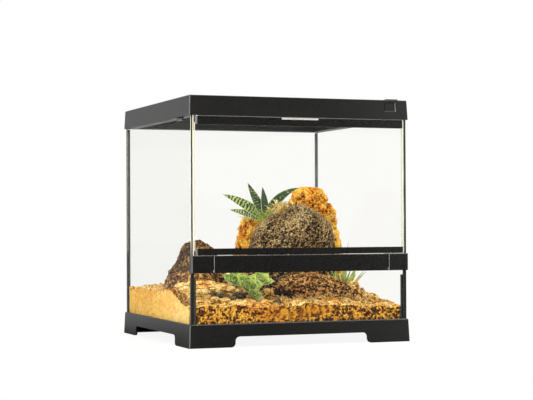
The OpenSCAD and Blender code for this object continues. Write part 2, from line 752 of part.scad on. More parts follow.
// A rock: rings from a buried base to a peak. squareness 2 gives a dome and 1 a cone.
// at is the middle of the base and lean how far the peak stands to the side of it.
module rock(at, base_z, top, half, lean, roundness, rough, seed, rings = 9, sides = 20) {
    place = fitted(at);
    radius = fitted(half);
    offset_to_peak = fitted(lean);
    points = [for (k = [0:rings]) for (i = [0:sides - 1]) let (
            t = k / (rings + 0.35), a = 360 * i / sides,
            f = pow(1 - pow(t, roundness), 0.5 + 0.3 * (2 - roundness)),
            n = 1 + rough * (0.5 * sin(3 * a + 57 * seed + 200 * t) + 0.35 * sin(5 * a - 91 * seed + 330 * t)
                + 0.3 * sin(8 * a + 33 * seed + 520 * t)))
        [place[0] + offset_to_peak[0] * t + radius[0] * f * n * cos(a),
         place[1] + offset_to_peak[1] * t + radius[1] * f * n * sin(a),
         base_z + (top - base_z) * t * (1 + rough * 0.3 * (1 - t) * sin(4 * a + 71 * seed))]];
    peak = len(points);
    faces = concat(
        [for (k = [0:rings - 1]) for (i = [0:sides - 1]) for (half = [0, 1]) let (
                a = k * sides + i, b = k * sides + (i + 1) % sides, c = a + sides, d = b + sides)
            half == 0 ? [a, c, b] : [b, c, d]],
        [for (i = [0:sides - 1]) [rings * sides + i, peak, rings * sides + (i + 1) % sides]],
        [for (i = [0:sides - 1]) [i, (i + 1) % sides, peak + 1]]);
    peak_point = [place[0] + offset_to_peak[0], place[1] + offset_to_peak[1], top];
    polyhedron(concat(points, [peak_point, [place[0], place[1], base_z]]), faces);
}

module dome_shape()
    rock(dome_at, bed_front - 7, dome_top, dome_half, dome_lean, 2.1, 0.09, 3, rings = 11, sides = 24);

module cone_shape() rock(cone_at, bed_front - 1, cone_top, cone_half, cone_lean, 1.8, 0.08, 5);

// The tall part of the orange rock
module orange_peak()
    rock(peak_at, bed_front - 5, orange_top, peak_half, peak_lean, 3, 0.09, 2, rings = 12, sides = 24);

module low_shape() rock(low_at, bed_front - 11, bed_front + low_rise, low_half, low_lean, 2, 0.1, 4);

module dome_rock() color([0.4, 0.34, 0.26]) above_bed() dome_shape();

module cone_rock() color([0.5, 0.38, 0.22]) above_bed() cone_shape();

module ledge_rock() color([0.72, 0.6, 0.45]) above_bed() difference() {
    rock(ledge_at, bed_front - 5, bed_front + ledge_rise, ledge_half, ledge_lean, 2.6, 0.1, 8);
    cone_shape();
}

module orange_rock() color([0.85, 0.55, 0.2]) above_bed() difference() {
    union() {
        orange_peak();
        rock(lobe_at, bed_front - 3, orange_top - lobe_drop, lobe_half, lobe_lean, 2.6, 0.1, 7);
    }
    dome_shape();
}

module low_rock() color([0.35, 0.26, 0.16]) above_bed() difference() {
    low_shape();
    dome_shape();
}

// Each stone: its place in X and Y, its half width, and its height above the front of the bed
module small_stones() color([0.35, 0.33, 0.3]) above_bed() for (s = [
        [-92, -96, 9, 15], [-79, -104, 7, 12], [-68, -96, 10, 16], [-104, -108, 8, 11], [-20, -112, 6, 7]])
    rock([s[0], s[1]], bed_front - 8, bed_front + s[3], [s[2], s[2] * 0.8], [0, 0], 2.2, 0.08, s[2],
        rings = 4, sides = 10);

// A leaf that starts at the origin, heads along +X at the rise angle and bends down by the bend angle.
// Its section is a four-cornered lens; belly is where along it the leaf is widest, and roll turns
// its face about its own length.
module leaf(length, width, thick, rise, bend, belly = 0.3, steps = 6, roll = 0) {
    turn = bend == 0 ? 0.01 : bend;
    scale_r = length / (turn * PI / 180);
    path = [for (i = [0:steps]) let (t = i / (steps + 0.25), a = rise - turn * t)
        [scale_r * (sin(rise) - sin(a)), scale_r * (cos(a) - cos(rise)), a, t]];
    rings = [for (p = path) let (
            w = width / 2 * (p[3] < belly ? 0.55 + 0.45 * sin(90 * p[3] / belly)
                : pow(cos(90 * (p[3] - belly) / (1.04 - belly)), 0.9)),
            h = thick / 2 * (1 - 0.75 * p[3]), at = [p[0], 0, p[1]],
            side = [-sin(p[2]) * sin(roll), cos(roll), cos(p[2]) * sin(roll)],
            face = [-sin(p[2]) * cos(roll), -sin(roll), cos(p[2]) * cos(roll)])
        each [at + side * w, at + face * h * 0.4, at - side * w, at - face * h]];
    tip_a = rise - turn;
    tip = [scale_r * (sin(rise) - sin(tip_a)), 0, scale_r * (cos(tip_a) - cos(rise))];
    last = 4 * steps;
    faces = concat(
        [for (k = [0:steps - 1]) for (i = [0:3]) for (half = [0, 1]) let (
                a = 4 * k + i, b = 4 * k + (i + 1) % 4)
            half == 0 ? [a, a + 4, b] : [b, a + 4, b + 4]],
        [for (i = [0:3]) [last + i, last + 4, last + (i + 1) % 4]],
        [[0, 1, 2], [0, 2, 3]]);
    polyhedron(concat(rings, [tip]), faces);
}

module striped_plant() color([0.25, 0.42, 0.2]) difference() {
    // each row: heading, length, rise, bend, roll
    translate(concat(fitted(striped_at), dome_top - striped_sink)) {
        for (r = [[163, 70, 44, 24, -62], [154, 57, 62, -2, -40], [104, 48, 82, 4, -10], [-6, 60, 66, 34, 48],
                [172, 54, 24, 14, -55], [-36, 30, 24, 20, 30], [48, 44, 62, 20, 20], [236, 26, 46, 30, 0],
                [300, 24, 50, 30, 0]])
            rotate([0, 0, r[0]])
                leaf(r[1], striped_leaf_w, striped_leaf_t, r[2], r[3], roll = r[4]);
        translate([0, 0, -12]) cylinder(r1 = 3, r2 = 6, h = 16, $fn = 8);
    }
    dome_shape();
    orange_peak();
}

// A rosette of short leaves on a stalk, turned by the golden angle from leaf to leaf.
// rise is the height of its middle above the front of the bed.
module rosette(at, rise, radius, leaves, tilt) translate(concat(fitted(at), bed_front + rise)) {
    translate([0, 0, -rise]) cylinder(r1 = stalk_r, r2 = stalk_r + 1, h = rise + radius * 0.1, $fn = 8);
    for (k = [0:leaves - 1]) let (t = k / (leaves - 1))
        rotate(tilt) rotate([0, 0, golden * k])
            leaf(radius * (1 - 0.45 * t), radius * 0.5, radius * 0.2, 12 + 62 * t, -24, 0.55, 4);
}

module rosette_plant() color([0.5, 0.68, 0.4]) above_bed() {
    rosette([-50, -92], 27, 22, 15, [50, 0, 0]);
    rosette([-60, -70], 33, 16, 11, [30, -20, 0]);
    rosette([-23, -70], 32, 15, 11, [32, 16, 0]);
    rosette([-49, -106], 13, 13, 9, [50, 0, 20]);
}

// A clump of narrow blades behind the low rock, two of them tall
module blade_plant() color([0.62, 0.72, 0.45]) difference() {
    above_bed() translate(concat(fitted(blade_at), bed_front - 2)) for (k = [0:9])
        rotate([0, 0, golden * k + 20])
            if (k % 4 == 3) leaf(tall_blade_l, blade_w, blade_t, 84, 8, 0.3, 4);
            else leaf(blade_l + blade_step * (k % 3), blade_w, blade_t, 82 - 2.4 * k, 18, 0.3, 4);
    dome_shape();
    low_shape();
}

base_frame();
bottom_glass();
back_glass();
left_glass();
right_glass();
lower_front_glass();
silicone_seams();
lid_frame();
lid_magnet();
bar_end_block_left();
bar_end_block_right();
bar_channel();
vent_strip();
door_glass();
door_top_rail();
door_bottom_rail();
door_pivot_pins();
door_strike_strip();
latch_bar();
latch_pins();
latch_magnets();
screen_frame();
screen_mesh();
screen_hinge_pins();
screen_button();
cable_shutter_left();
cable_shutter_right();
substrate_bed();
cone_rock();
ledge_rock();
dome_rock();
orange_rock();
low_rock();
small_stones();
striped_plant();
rosette_plant();
blade_plant();
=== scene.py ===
"""Looks of a furnished glass terrarium, built round its packed construction.
Metres, with +Z up and the front facing -Y."""

import math

import bpy
import numpy as np
from mathutils import Matrix, Vector


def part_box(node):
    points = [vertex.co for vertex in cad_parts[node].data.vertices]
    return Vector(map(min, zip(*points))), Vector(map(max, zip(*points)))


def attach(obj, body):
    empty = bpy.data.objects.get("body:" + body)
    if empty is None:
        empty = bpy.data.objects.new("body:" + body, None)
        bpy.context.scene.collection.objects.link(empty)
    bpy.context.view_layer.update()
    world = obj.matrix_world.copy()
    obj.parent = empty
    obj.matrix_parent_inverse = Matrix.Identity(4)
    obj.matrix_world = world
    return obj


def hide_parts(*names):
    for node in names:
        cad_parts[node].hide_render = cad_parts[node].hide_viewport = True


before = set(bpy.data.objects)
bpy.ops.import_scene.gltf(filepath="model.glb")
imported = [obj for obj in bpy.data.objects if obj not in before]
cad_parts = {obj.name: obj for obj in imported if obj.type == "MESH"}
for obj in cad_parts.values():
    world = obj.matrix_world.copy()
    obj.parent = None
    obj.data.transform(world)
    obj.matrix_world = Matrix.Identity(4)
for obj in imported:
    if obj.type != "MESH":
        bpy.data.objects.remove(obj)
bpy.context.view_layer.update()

MM = 0.001

# ---- numbers from the construction

INNER = 0.146  # from the middle of the box to the inside of each pane
PANE = 4 * MM
BED_GAP = 0.4 * MM
BEAD_LEG = 3.6 * MM
BED_FRONT = 51 * MM
BED_RISE = 15 * MM
BED_FALL = 6 * MM
BED_RAMP = 110 * MM
FALL_START = 40 * MM
FALL_RAMP = 100 * MM
BED_BASE = 22.1 * MM
MOUND_RISE = 9 * MM
MOUND_AT = (-98 * MM, -62 * MM)
MOUND_HALF = (48 * MM, 42 * MM)
BAR_TOP = 116.6 * MM
GOLDEN = 137.5  # degrees from one leaf to the next

# ---- noise

HASH = np.array([374761393, 668265263, 1440662683])
HASH_SEED, HASH_MIX = 974634777, 1274126177
MASK = 0xFFFFFFFF


def smooth(t):
    """Smoothstep: 3 t squared less 2 t cubed, held from 0 to 1."""
    t = np.clip(t, 0, 1)
    return t * t * (3 - 2 * t)


def lattice(cell, seed):
    """Repeatable values from 0 to 1 at whole-number places, by multiplying and mixing coordinates."""
    h = (cell.astype(np.int64) @ HASH + seed * HASH_SEED) & MASK
    h = ((h ^ (h >> 13)) * HASH_MIX) & MASK
    return ((h ^ (h >> 16)) & MASK) / MASK


def noise(points, size, seed):
    """Noise from -1 to 1: lattice values at the eight corners round a point, blended by smoothstep."""
    q = points / size
    cell = np.floor(q)
    t = smooth(q - cell)
    total = 0
    for corner in np.ndindex(2, 2, 2):
        weight = np.prod(np.where(corner, t, 1 - t), axis=-1)
        total = total + weight * lattice(cell + corner, seed)
    return 2 * total - 1


def fractal(points, size, octaves, seed):
    """Sum of octaves of noise, each half the size and half the height of the one before."""
    return sum(noise(points, size / 2**k, seed + k) / 2**k for k in range(octaves))


def cells(points, size, seed):
    """Distances, in cell sizes, to the nearest and second nearest of one random point in each cell."""
    q = points / size
    cell = np.floor(q)
    near = np.full(q.shape[:-1], 9.0)
    second = near.copy()
    for step in np.ndindex(3, 3, 3):
        c = cell + step - 1
        centre = c + np.stack([lattice(c, seed + k) for k in range(3)], axis=-1)
        d = np.linalg.norm(q - centre, axis=-1)
        second = np.minimum(second, np.maximum(near, d))
        near = np.minimum(near, d)
    return near, second


# ---- meshes


def linked(name, data):
    """A new object in the scene that shows the data."""
    made = bpy.data.objects.new(name, data)
    bpy.context.scene.collection.objects.link(made)
    return made


def piece(name, points, quads, triangles, attributes, material, soft=True):
    """A mesh object at the origin from arrays of points, faces and named values at the points."""
    mesh = bpy.data.meshes.new(name)
    loops = np.concatenate([quads.ravel(), triangles.ravel()]).astype(np.int32)
    starts = np.concatenate([np.arange(len(quads)) * 4, quads.size + np.arange(len(triangles)) * 3])
    mesh.vertices.add(len(points))
    mesh.vertices.foreach_set("co", points.astype(np.float32).ravel())
    mesh.loops.add(len(loops))
    mesh.loops.foreach_set("vertex_index", loops)
    mesh.polygons.add(len(starts))
    mesh.polygons.foreach_set("loop_start", starts.astype(np.int32))
    mesh.update(calc_edges=True)
    mesh.polygons.foreach_set("use_smooth", np.full(len(starts), soft))
    for label, values in attributes.items():
        layer = mesh.attributes.new(label, "FLOAT", "POINT")
        layer.data.foreach_set("value", values.astype(np.float32).ravel())
    mesh.materials.append(material)
    return linked(name, mesh)


def xyz(x, y, z):
    """Points from their coordinates, each spread to the shape that they share."""
    return np.stack(np.broadcast_arrays(x, y, z), axis=-1)


def circle(sides):
    """Angles evenly round a closed ring, one for each side, as a row."""
    return np.linspace(0, 2 * math.pi, sides, endpoint=False)[None, :]


def skin_faces(rings, sides):
    """Faces of a skin of closed rings with a pole at each end. They point outwards where the rings
    climb from the first pole to the second and the sides turn anticlockwise seen from the second."""
    i = np.arange(sides)
    j = (i + 1) % sides
    k = np.arange(rings - 1)[:, None] * sides
    quads = np.stack([k + i, k + j, k + sides + j, k + sides + i], axis=-1).reshape(-1, 4)
    low, high = rings * sides, rings * sides + 1
    last = (rings - 1) * sides
    triangles = np.concatenate([
        np.stack([j, i, np.full(sides, low)], axis=-1),
        np.stack([last + i, last + j, np.full(sides, high)], axis=-1)])
    return quads, triangles


def skins(name, parts, material, attributes=None, soft=True):
    """Several closed skins as one piece. parts is an array: skin, ring, side, coordinate."""
    count, rings, sides, _ = parts.shape
    poles = np.stack([parts[:, 0].mean(axis=1), parts[:, -1].mean(axis=1)], axis=1)
    points = np.concatenate([parts.reshape(count, -1, 3), poles], axis=1)
    step = (np.arange(count) * (rings * sides + 2))[:, None, None]
    quads, triangles = skin_faces(rings, sides)
    values = {}
    for label, value in (attributes or {}).items():
        ends = np.stack([value[:, 0].mean(axis=1), value[:, -1].mean(axis=1)], axis=1)
        values[label] = np.concatenate([value.reshape(count, -1), ends], axis=1)
    return piece(name, points.reshape(-1, 3), (quads + step).reshape(-1, 4),
        (triangles + step).reshape(-1, 3), values, material, soft)


def outward(grid):
    """Unit normals of a skin's rings: along a ring crossed with from ring to ring."""
    around = np.roll(grid, -1, axis=1) - np.roll(grid, 1, axis=1)
    up = np.gradient(grid, axis=0)
    normal = np.cross(around, up)
    return normal / np.maximum(np.linalg.norm(normal, axis=-1, keepdims=True), 1e-12)


def settled(made, node=None):
    """Makes a piece ride on the tank, and stand for a node if one is named."""
    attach(made, "tank")
    if node:
        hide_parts(node)


# ---- materials


WHITE = "#ffffff"


def linear(code):
    """A hex sRGB colour as linear red, green, blue and alpha, by the sRGB curve."""
    parts = [int(code[k:k + 2], 16) / 255 for k in (1, 3, 5)]
    return [c / 12.92 if c <= 0.04045 else ((c + 0.055) / 1.055) ** 2.4 for c in parts] + [1.0]


def add(tree, kind, feeds=None, stops=(), **settings):
    """Adds a node. feeds gives its inputs a value, or the node or output that feeds them, and stops
    fill a ramp. In a Map Range, inputs 1 and 2 are the range read and 3 and 4 the range given; in a
    Mix, input 0 is the share of the second colour, and 6 and 7 are the two colours."""
    made = tree.nodes.new("ShaderNode" + kind)
    for label, value in settings.items():
        setattr(made, label, value)
    for key, value in (feeds or {}).items():
        if isinstance(value, bpy.types.Node):
            value = value.outputs[0]
        if isinstance(value, bpy.types.NodeSocket):
            tree.links.new(value, made.inputs[key])
        else:
            made.inputs[key].default_value = value
    for k, (place, code) in enumerate(stops):
        ramp = made.color_ramp.elements
        stop = ramp[k] if k < 2 else ramp.new(place)
        stop.position = place
        stop.color = linear(code)
    return made


def blank(name):
    """A new material without nodes, and its tree."""
    made = bpy.data.materials.new(name)
    made.use_nodes = True
    made.node_tree.nodes.clear()
    return made, made.node_tree


def per(size_mm):
    """A texture scale at which one feature is about that many millimetres."""
    return 1 / (size_mm * MM)


# A noise texture's values: nearly all lie from low to high, and about half in the narrow range
NOISE_LOW, NOISE_HIGH = 0.3, 0.7
NARROW_LOW, MIDDLE, NARROW_HIGH = 0.36, 0.5, 0.64
GLASS_IOR = 1.5


def grained(name, dark, light, patch_mm, grain_mm, rough, bump_mm, metallic=0.0):
    """A hard finish: a broad drift of colour and roughness, as patch times grain plus grain, and a fine
    grain that also lifts the surface. Faces that look down hardly shine: their reflection is turned
    down so that they stay dark, as painted shade."""
    made, tree = blank(name)
    coords = add(tree, "TexCoord").outputs
    place = coords["Object"]
    rise = add(tree, "SeparateXYZ", {0: coords["Normal"]}).outputs["Z"]
    # Painted shade: faces that look down get almost no reflection, so that they stay dark
    sheen = add(tree, "MapRange", {0: rise, 1: -0.9, 2: -0.6, 3: 0.03, 4: 0.5})
    patch = add(tree, "TexNoise", {"Vector": place, "Scale": per(patch_mm), "Detail": 4.0})
    grain = add(tree, "TexNoise", {"Vector": place, "Scale": per(grain_mm), "Detail": 3.0})
    both = add(tree, "Math", {0: patch, 1: grain, 2: grain}, operation="MULTIPLY_ADD")
    drift = add(tree, "Math", {0: both, 1: 1.5}, operation="DIVIDE")
    colour = add(tree, "ValToRGB", {0: drift}, [(NOISE_LOW, dark), (NOISE_HIGH, light)])
    shine = add(tree, "MapRange", {0: drift, 1: NOISE_LOW, 2: NOISE_HIGH, 3: rough[0], 4: rough[1]})
    lift = add(tree, "Bump", {"Height": grain, "Distance": bump_mm * MM, "Strength": 0.6})
    shader = add(tree, "BsdfPrincipled", {"Base Color": colour, "Roughness": shine, "Normal": lift,
        "Metallic": metallic, "Specular IOR Level": sheen})
    add(tree, "OutputMaterial", {0: shader})
    return made


def float_glass(name, axis, tone, mirror, edge_and_highlight_stops):
    """Soda-lime float glass, clear and polished; its cut edges look dark green because light runs
    lengthwise in the pane, and are painted cream or white as a highlight where they would catch the
    light. Under the bar the edges are blacked with sealant. axis is the direction through the pane, tone
    what it lets through and mirror the share of its surface that reflects; the edge stops colour an edge
    on its way from 146 to 150 mm out, painted highlights among them. Lamps shine through it."""
    made, tree = blank(name)
    coords = add(tree, "TexCoord").outputs
    facing = add(tree, "SeparateXYZ", {0: coords["Normal"]}).outputs[axis]
    size = add(tree, "Math", {0: facing}, operation="ABSOLUTE")
    edge = add(tree, "Math", {0: size, 1: 0.5}, operation="LESS_THAN")
    at = add(tree, "SeparateXYZ", {0: coords["Object"]}).outputs
    out_x = add(tree, "Math", {0: at["X"]}, operation="ABSOLUTE")
    way = add(tree, "MapRange", {0: out_x, 1: INNER, 2: INNER + PANE})
    streak = add(tree, "TexNoise", {"Vector": coords["Object"], "Scale": per(30), "Detail": 2.0})
    wander = add(tree, "MapRange", {0: streak, 1: NOISE_LOW, 2: NOISE_HIGH, 3: -0.05, 4: 0.05})
    place = add(tree, "Math", {0: way, 1: wander}, operation="ADD", use_clamp=True)
    # Painted highlight: the edge stops put cream and white where an edge would catch the light
    ground = add(tree, "ValToRGB", {0: place}, edge_and_highlight_stops)
    low = add(tree, "Math", {0: at["Z"], 1: BAR_TOP}, operation="LESS_THAN")
    blacked = add(tree, "Mix", {0: low, 6: ground, 7: linear("#1d1e17")}, data_type="RGBA").outputs[2]
    cut = add(tree, "BsdfPrincipled", {"Base Color": blacked, "Roughness": 0.4, "Specular IOR Level": 0.15})
    polished = add(tree, "BsdfPrincipled", {"Base Color": linear(tone), "Roughness": 0.0,
        "IOR": GLASS_IOR, "Transmission Weight": 1.0})
    clear = add(tree, "BsdfRefraction", {"Color": linear(tone), "Roughness": 0.0, "IOR": GLASS_IOR})
    face = add(tree, "MixShader", {0: mirror, 1: clear, 2: polished})
    pane = add(tree, "MixShader", {0: edge, 1: face, 2: cut})
    path = add(tree, "LightPath").outputs
    lamp = add(tree, "Math", {0: path["Is Shadow Ray"], 1: path["Is Diffuse Ray"]}, operation="MAXIMUM")
    through = add(tree, "BsdfTransparent", {0: linear("#f8fbf9")})
    both = add(tree, "MixShader", {0: lamp, 1: pane, 2: through})
    add(tree, "OutputMaterial", {0: both})
    return made


def stone(name, stops, tints, patch_mm, grain_mm, rough, bump_mm, speckle, pore_mm=4.0, pores=0.0):
    """Rough mineral, bark or husk. The hollow attribute, 0 on proud places and 1 in pits, picks the
    colour together with a fine grain and round pores: proud places are painted light and pits and the
    middles of pores dark, as painted shade over the stone's own tone; a broad noise tints it. speckle is
    how far the grain moves the colour, less where the even attribute is high, and pores how deep the
    pores are."""
    made, tree = blank(name)
    place = add(tree, "TexCoord").outputs["Object"]
    hollow = add(tree, "Attribute", attribute_name="hollow").outputs["Fac"]
    even = add(tree, "Attribute", attribute_name="even").outputs["Fac"]
    patch = add(tree, "TexNoise", {"Vector": place, "Scale": per(patch_mm), "Detail": 5.0})
    grain = add(tree, "TexNoise", {"Vector": place, "Scale": per(grain_mm), "Detail": 3.0,
        "Roughness": 0.6})
    spread = add(tree, "MapRange", {0: grain, 1: NARROW_LOW, 2: NARROW_HIGH, 3: -speckle, 4: speckle})
    loose = add(tree, "Math", {0: 1.0, 1: even}, operation="SUBTRACT")
    calmed = add(tree, "Math", {0: spread, 1: loose}, operation="MULTIPLY")
    # Painted shade: the middles of the round pores are darkened
    pore = add(tree, "TexVoronoi", {"Vector": place, "Scale": per(pore_mm)})
    deep = add(tree, "MapRange", {0: pore, 1: 0.15, 2: 0.5, 3: pores, 4: 0.0})
    speckled = add(tree, "Math", {0: hollow, 1: calmed}, operation="ADD")
    depth = add(tree, "Math", {0: speckled, 1: deep}, operation="ADD", use_clamp=True)
    # Painted light and shade: proud places take the pale stops, pits the dark ones
    body = add(tree, "ValToRGB", {0: depth}, stops)
    tint = add(tree, "ValToRGB", {0: patch}, zip((NARROW_LOW, MIDDLE, NARROW_HIGH), tints))
    colour = add(tree, "Mix", {0: 0.8, 6: body, 7: tint}, data_type="RGBA", blend_type="MULTIPLY")
    lift = add(tree, "Bump", {"Height": depth, "Distance": bump_mm * MM, "Strength": 0.8}, invert=True)
    shader = add(tree, "BsdfPrincipled", {"Base Color": colour.outputs[2], "Roughness": rough,
        "Normal": lift, "Specular IOR Level": 0.12})
    add(tree, "OutputMaterial", {0: shader})
    return made


def leaf_skin(name, dark, pale, rim, heart, bands, band_share):
    """A waxy leaf: broken pale cross bands along its length, a pale rim at both edges, and the heart
    colour at its foot. A band is a sine of the way along, moved by noise. along runs from foot to tip,
    across from edge to edge, and pallor widens the pale bands of one leaf or narrows them."""
    made, tree = blank(name)
    place = add(tree, "TexCoord").outputs["Object"]
    along, across, pallor = (add(tree, "Attribute", attribute_name=label).outputs["Fac"]
        for label in ("along", "across", "pallor"))
    wobble = add(tree, "TexNoise", {"Vector": place, "Scale": per(4), "Detail": 3.0})
    shift = add(tree, "Math", {0: wobble, 1: 9.0}, operation="MULTIPLY")
    turn = add(tree, "Math", {0: along, 1: bands * 2 * math.pi, 2: shift}, operation="MULTIPLY_ADD")
    wave = add(tree, "Math", {0: turn}, operation="SINE")
    fleck = add(tree, "TexNoise", {"Vector": place, "Scale": per(2.2), "Detail": 2.0})
    broken = add(tree, "MapRange", {0: fleck, 1: NOISE_LOW, 2: NOISE_HIGH, 3: -0.8, 4: 0.8})
    patchy = add(tree, "Math", {0: wave, 1: broken}, operation="ADD")
    level = add(tree, "Math", {0: patchy, 1: pallor}, operation="ADD")
    band = add(tree, "MapRange", {0: level, 1: band_share - 0.25, 2: band_share + 0.25})
    side = add(tree, "Math", {0: across}, operation="ABSOLUTE")
    at_rim = add(tree, "MapRange", {0: side, 1: 0.84, 2: 0.97})
    at_foot = add(tree, "MapRange", {0: along, 1: 0.02, 2: 0.34, 3: 1.0, 4: 0.0})
    colour = linear(dark)
    for share, over in ((band, pale), (at_rim, rim), (at_foot, heart)):
        colour = add(tree, "Mix", {0: share, 6: colour, 7: linear(over)}, data_type="RGBA").outputs[2]
    shine = add(tree, "MapRange", {0: wobble, 1: NOISE_LOW, 2: NOISE_HIGH, 3: 0.32, 4: 0.5})
    lift = add(tree, "Bump", {"Height": band, "Distance": 0.3 * MM, "Strength": 0.5})
    shader = add(tree, "BsdfPrincipled", {"Base Color": colour, "Roughness": shine, "Normal": lift})
    add(tree, "OutputMaterial", {0: shader})
    return made


# Injection-moulded ABS, black, with the satin grain of an eroded mould: soft reflections, no mirror
satin_abs = grained("satin moulded ABS", "#0a0a09", "#121211", patch_mm=60, grain_mm=1.2,
    rough=(0.27, 0.36), bump_mm=0.04)
# Extruded rigid PVC, black, a little smoother than the mouldings
rail_pvc = grained("extruded black PVC", "#060605", "#0c0b0a", patch_mm=80, grain_mm=1.5,
    rough=(0.25, 0.34), bump_mm=0.03)
# Tooled silicone sealant: black and rubbery, with slow waves from the finger that drew it
sealant = grained("black silicone sealant", "#0b0806", "#17100c", patch_mm=25, grain_mm=6,
    rough=(0.3, 0.5), bump_mm=0.2)
# Bright-rolled stainless strip: white metal with a soft, even shine
bright_steel = grained("bright rolled stainless steel", "#d9d8d4", "#f2f1ee", patch_mm=12, grain_mm=1.5,
    rough=(0.5, 0.6), bump_mm=0.02, metallic=1.0)
# Nickel plating over a sintered magnet: warm grey metal, fairly glossy
nickel = grained("nickel plating", "#9a9894", "#b9b7b2", patch_mm=8, grain_mm=1.0,
    rough=(0.2, 0.35), bump_mm=0.02, metallic=1.0)
# Mill-finish aluminium sheet: light grey metal, half matt from the rolls
sheet_aluminium = grained("mill finish aluminium", "#a9abad", "#c9cbcc", patch_mm=10, grain_mm=1.2,
    rough=(0.32, 0.45), bump_mm=0.02, metallic=1.0)
# Steel wire woven and dipped in dark enamel, which rounds it and dulls it
dipped_wire = grained("enamelled steel wire", "#1d1d1e", "#303031", patch_mm=14, grain_mm=1.2,
    rough=(0.35, 0.5), bump_mm=0.02)

# Cut edges of the panes, from the room's side outwards: dark green, with painted highlights in cream
# and white where they would catch the light
FRONT_EDGE_AND_HIGHLIGHT = [(0.2, "#d3cfb6"), (0.5, "#1b2412")]
LEFT_EDGE_AND_HIGHLIGHT = [(0.3, "#d6d2bc"), (0.4, "#141a0d"), (0.82, "#141a0d"), (0.9, "#cfcbbd")]
RIGHT_EDGE_AND_HIGHLIGHT = [(0.02, "#ccd2be"), (0.2, "#8a9674"), (0.42, "#22331a"), (0.95, "#1b2412")]
glass_front = float_glass("float glass facing front", "Y", "#fefefd", 0.3, FRONT_EDGE_AND_HIGHLIGHT)
# Painted shade: the left pane's glass lets a little less through, for how dim it looks at a slant
glass_left = float_glass("float glass facing left", "X", "#fbfbfa", 0.12, LEFT_EDGE_AND_HIGHLIGHT)
glass_right = float_glass("float glass facing right", "X", "#fefefd", 0.1, RIGHT_EDGE_AND_HIGHLIGHT)
glass_floor = float_glass("float glass lying flat", "Z", "#fefefd", 0.6, RIGHT_EDGE_AND_HIGHLIGHT)

# Crumbled dry husk: ochre crumbs, some paler, painted cream on proud places and crumb tops as light,
# with painted brown shade between them
husk = stone("crumbled ochre husk",
    [(0.0, "#ffeab0"), (0.28, "#ecba55"), (0.52, "#c58a22"), (0.76, "#744208"), (1.0, "#1e0d02")],
    ("#ffdc9c", WHITE, "#fff3cf"), patch_mm=40, grain_mm=2.2, rough=0.9, bump_mm=0.8, speckle=0.42)
# Sandy tan stone
tan_stone = stone("tan sandstone",
    [(0.0, "#b78f57"), (0.3, "#86602f"), (0.6, "#503516"), (0.95, "#170e05")],
    ("#dcae6a", WHITE, "#c2b79c"), patch_mm=20, grain_mm=2.4, rough=0.85, bump_mm=0.8, speckle=0.4)
# Paler, pinkish stone, painted ochre on its proud places and ledges as light and darker in its pits as
# shade
pale_stone = stone("pale sandstone",
    [(0.0, "#cfa76a"), (0.3, "#997036"), (0.6, "#633f17"), (0.95, "#271506")],
    ("#f0bb6c", WHITE, "#fbe9cc"), patch_mm=18, grain_mm=2.6, rough=0.85, bump_mm=0.8, speckle=0.4)
# Porous volcanic stone, grey brown, with its pores painted dark as shade
pumice = stone("porous volcanic stone",
    [(0.0, "#d6bd8c"), (0.25, "#a5875a"), (0.45, "#6e5433"), (0.68, "#2a1b10"), (0.95, "#0a0503")],
    ("#cdbc99", "#f7f0e2", WHITE), patch_mm=26, grain_mm=2.0, rough=0.92, bump_mm=0.9, speckle=0.36,
    pore_mm=2.2, pores=0.34)
# Weathered orange cork bark: crumbly, painted golden on its proud places as light and brown in its
# cracks as shade
orange_bark = stone("orange cork bark",
    [(0.0, "#ffd466"), (0.26, "#eda518"), (0.52, "#d48606"), (0.76, "#8c4c03"), (0.98, "#341702")],
    ("#ffd992", WHITE, "#fff1bf"), patch_mm=24, grain_mm=2.4, rough=0.85, bump_mm=0.9, speckle=0.38)
# Dark brown root wood, fibrous
root_wood = stone("brown root wood",
    [(0.0, "#dcaa68"), (0.26, "#a07038"), (0.52, "#63401c"), (0.78, "#271407"), (0.98, "#0b0502")],
    ("#e6bd85", WHITE, "#f0dcb8"), patch_mm=16, grain_mm=2.0, rough=0.9, bump_mm=0.9, speckle=0.5)
# Small rough stones, dark grey and porous, dusted with ochre
dark_pebble = stone("porous grey pebble",
    [(0.05, "#8f7f5e"), (0.35, "#655436"), (0.6, "#362b19"), (0.9, "#0f0b06")],
    ("#d8c79a", WHITE, "#ddd6b9"), patch_mm=9, grain_mm=2.2, rough=0.85, bump_mm=0.6, speckle=0.5)

# Banded waxy leaf: deep green with pale cross bands and a pale rim
banded_leaf = leaf_skin("banded waxy leaf", "#1a370a", "#b3c26c", "#d6dda2", "#b9d02f",
    bands=15, band_share=0.3)
# Fleshy rosette leaf: fresh green with a pale rim
rosette_leaf = leaf_skin("fleshy rosette leaf", "#6c8d1c", "#b4c543", "#f6f6cf", "#d9dc42",
    bands=2, band_share=0.3)
# Thin straw-coloured blade with a green middle
straw_leaf = leaf_skin("thin pale blade", "#8f9f3f", "#bcc067", "#ead9a0", "#c7a550",
    bands=1, band_share=0.4)
# Dry moss fibre: golden, some bleached to cream
dry_fibre = leaf_skin("dry moss fibre", "#f4cd4e", "#fff3c6", "#fae08c", "#f4cd4e",
    bands=1, band_share=0.5)

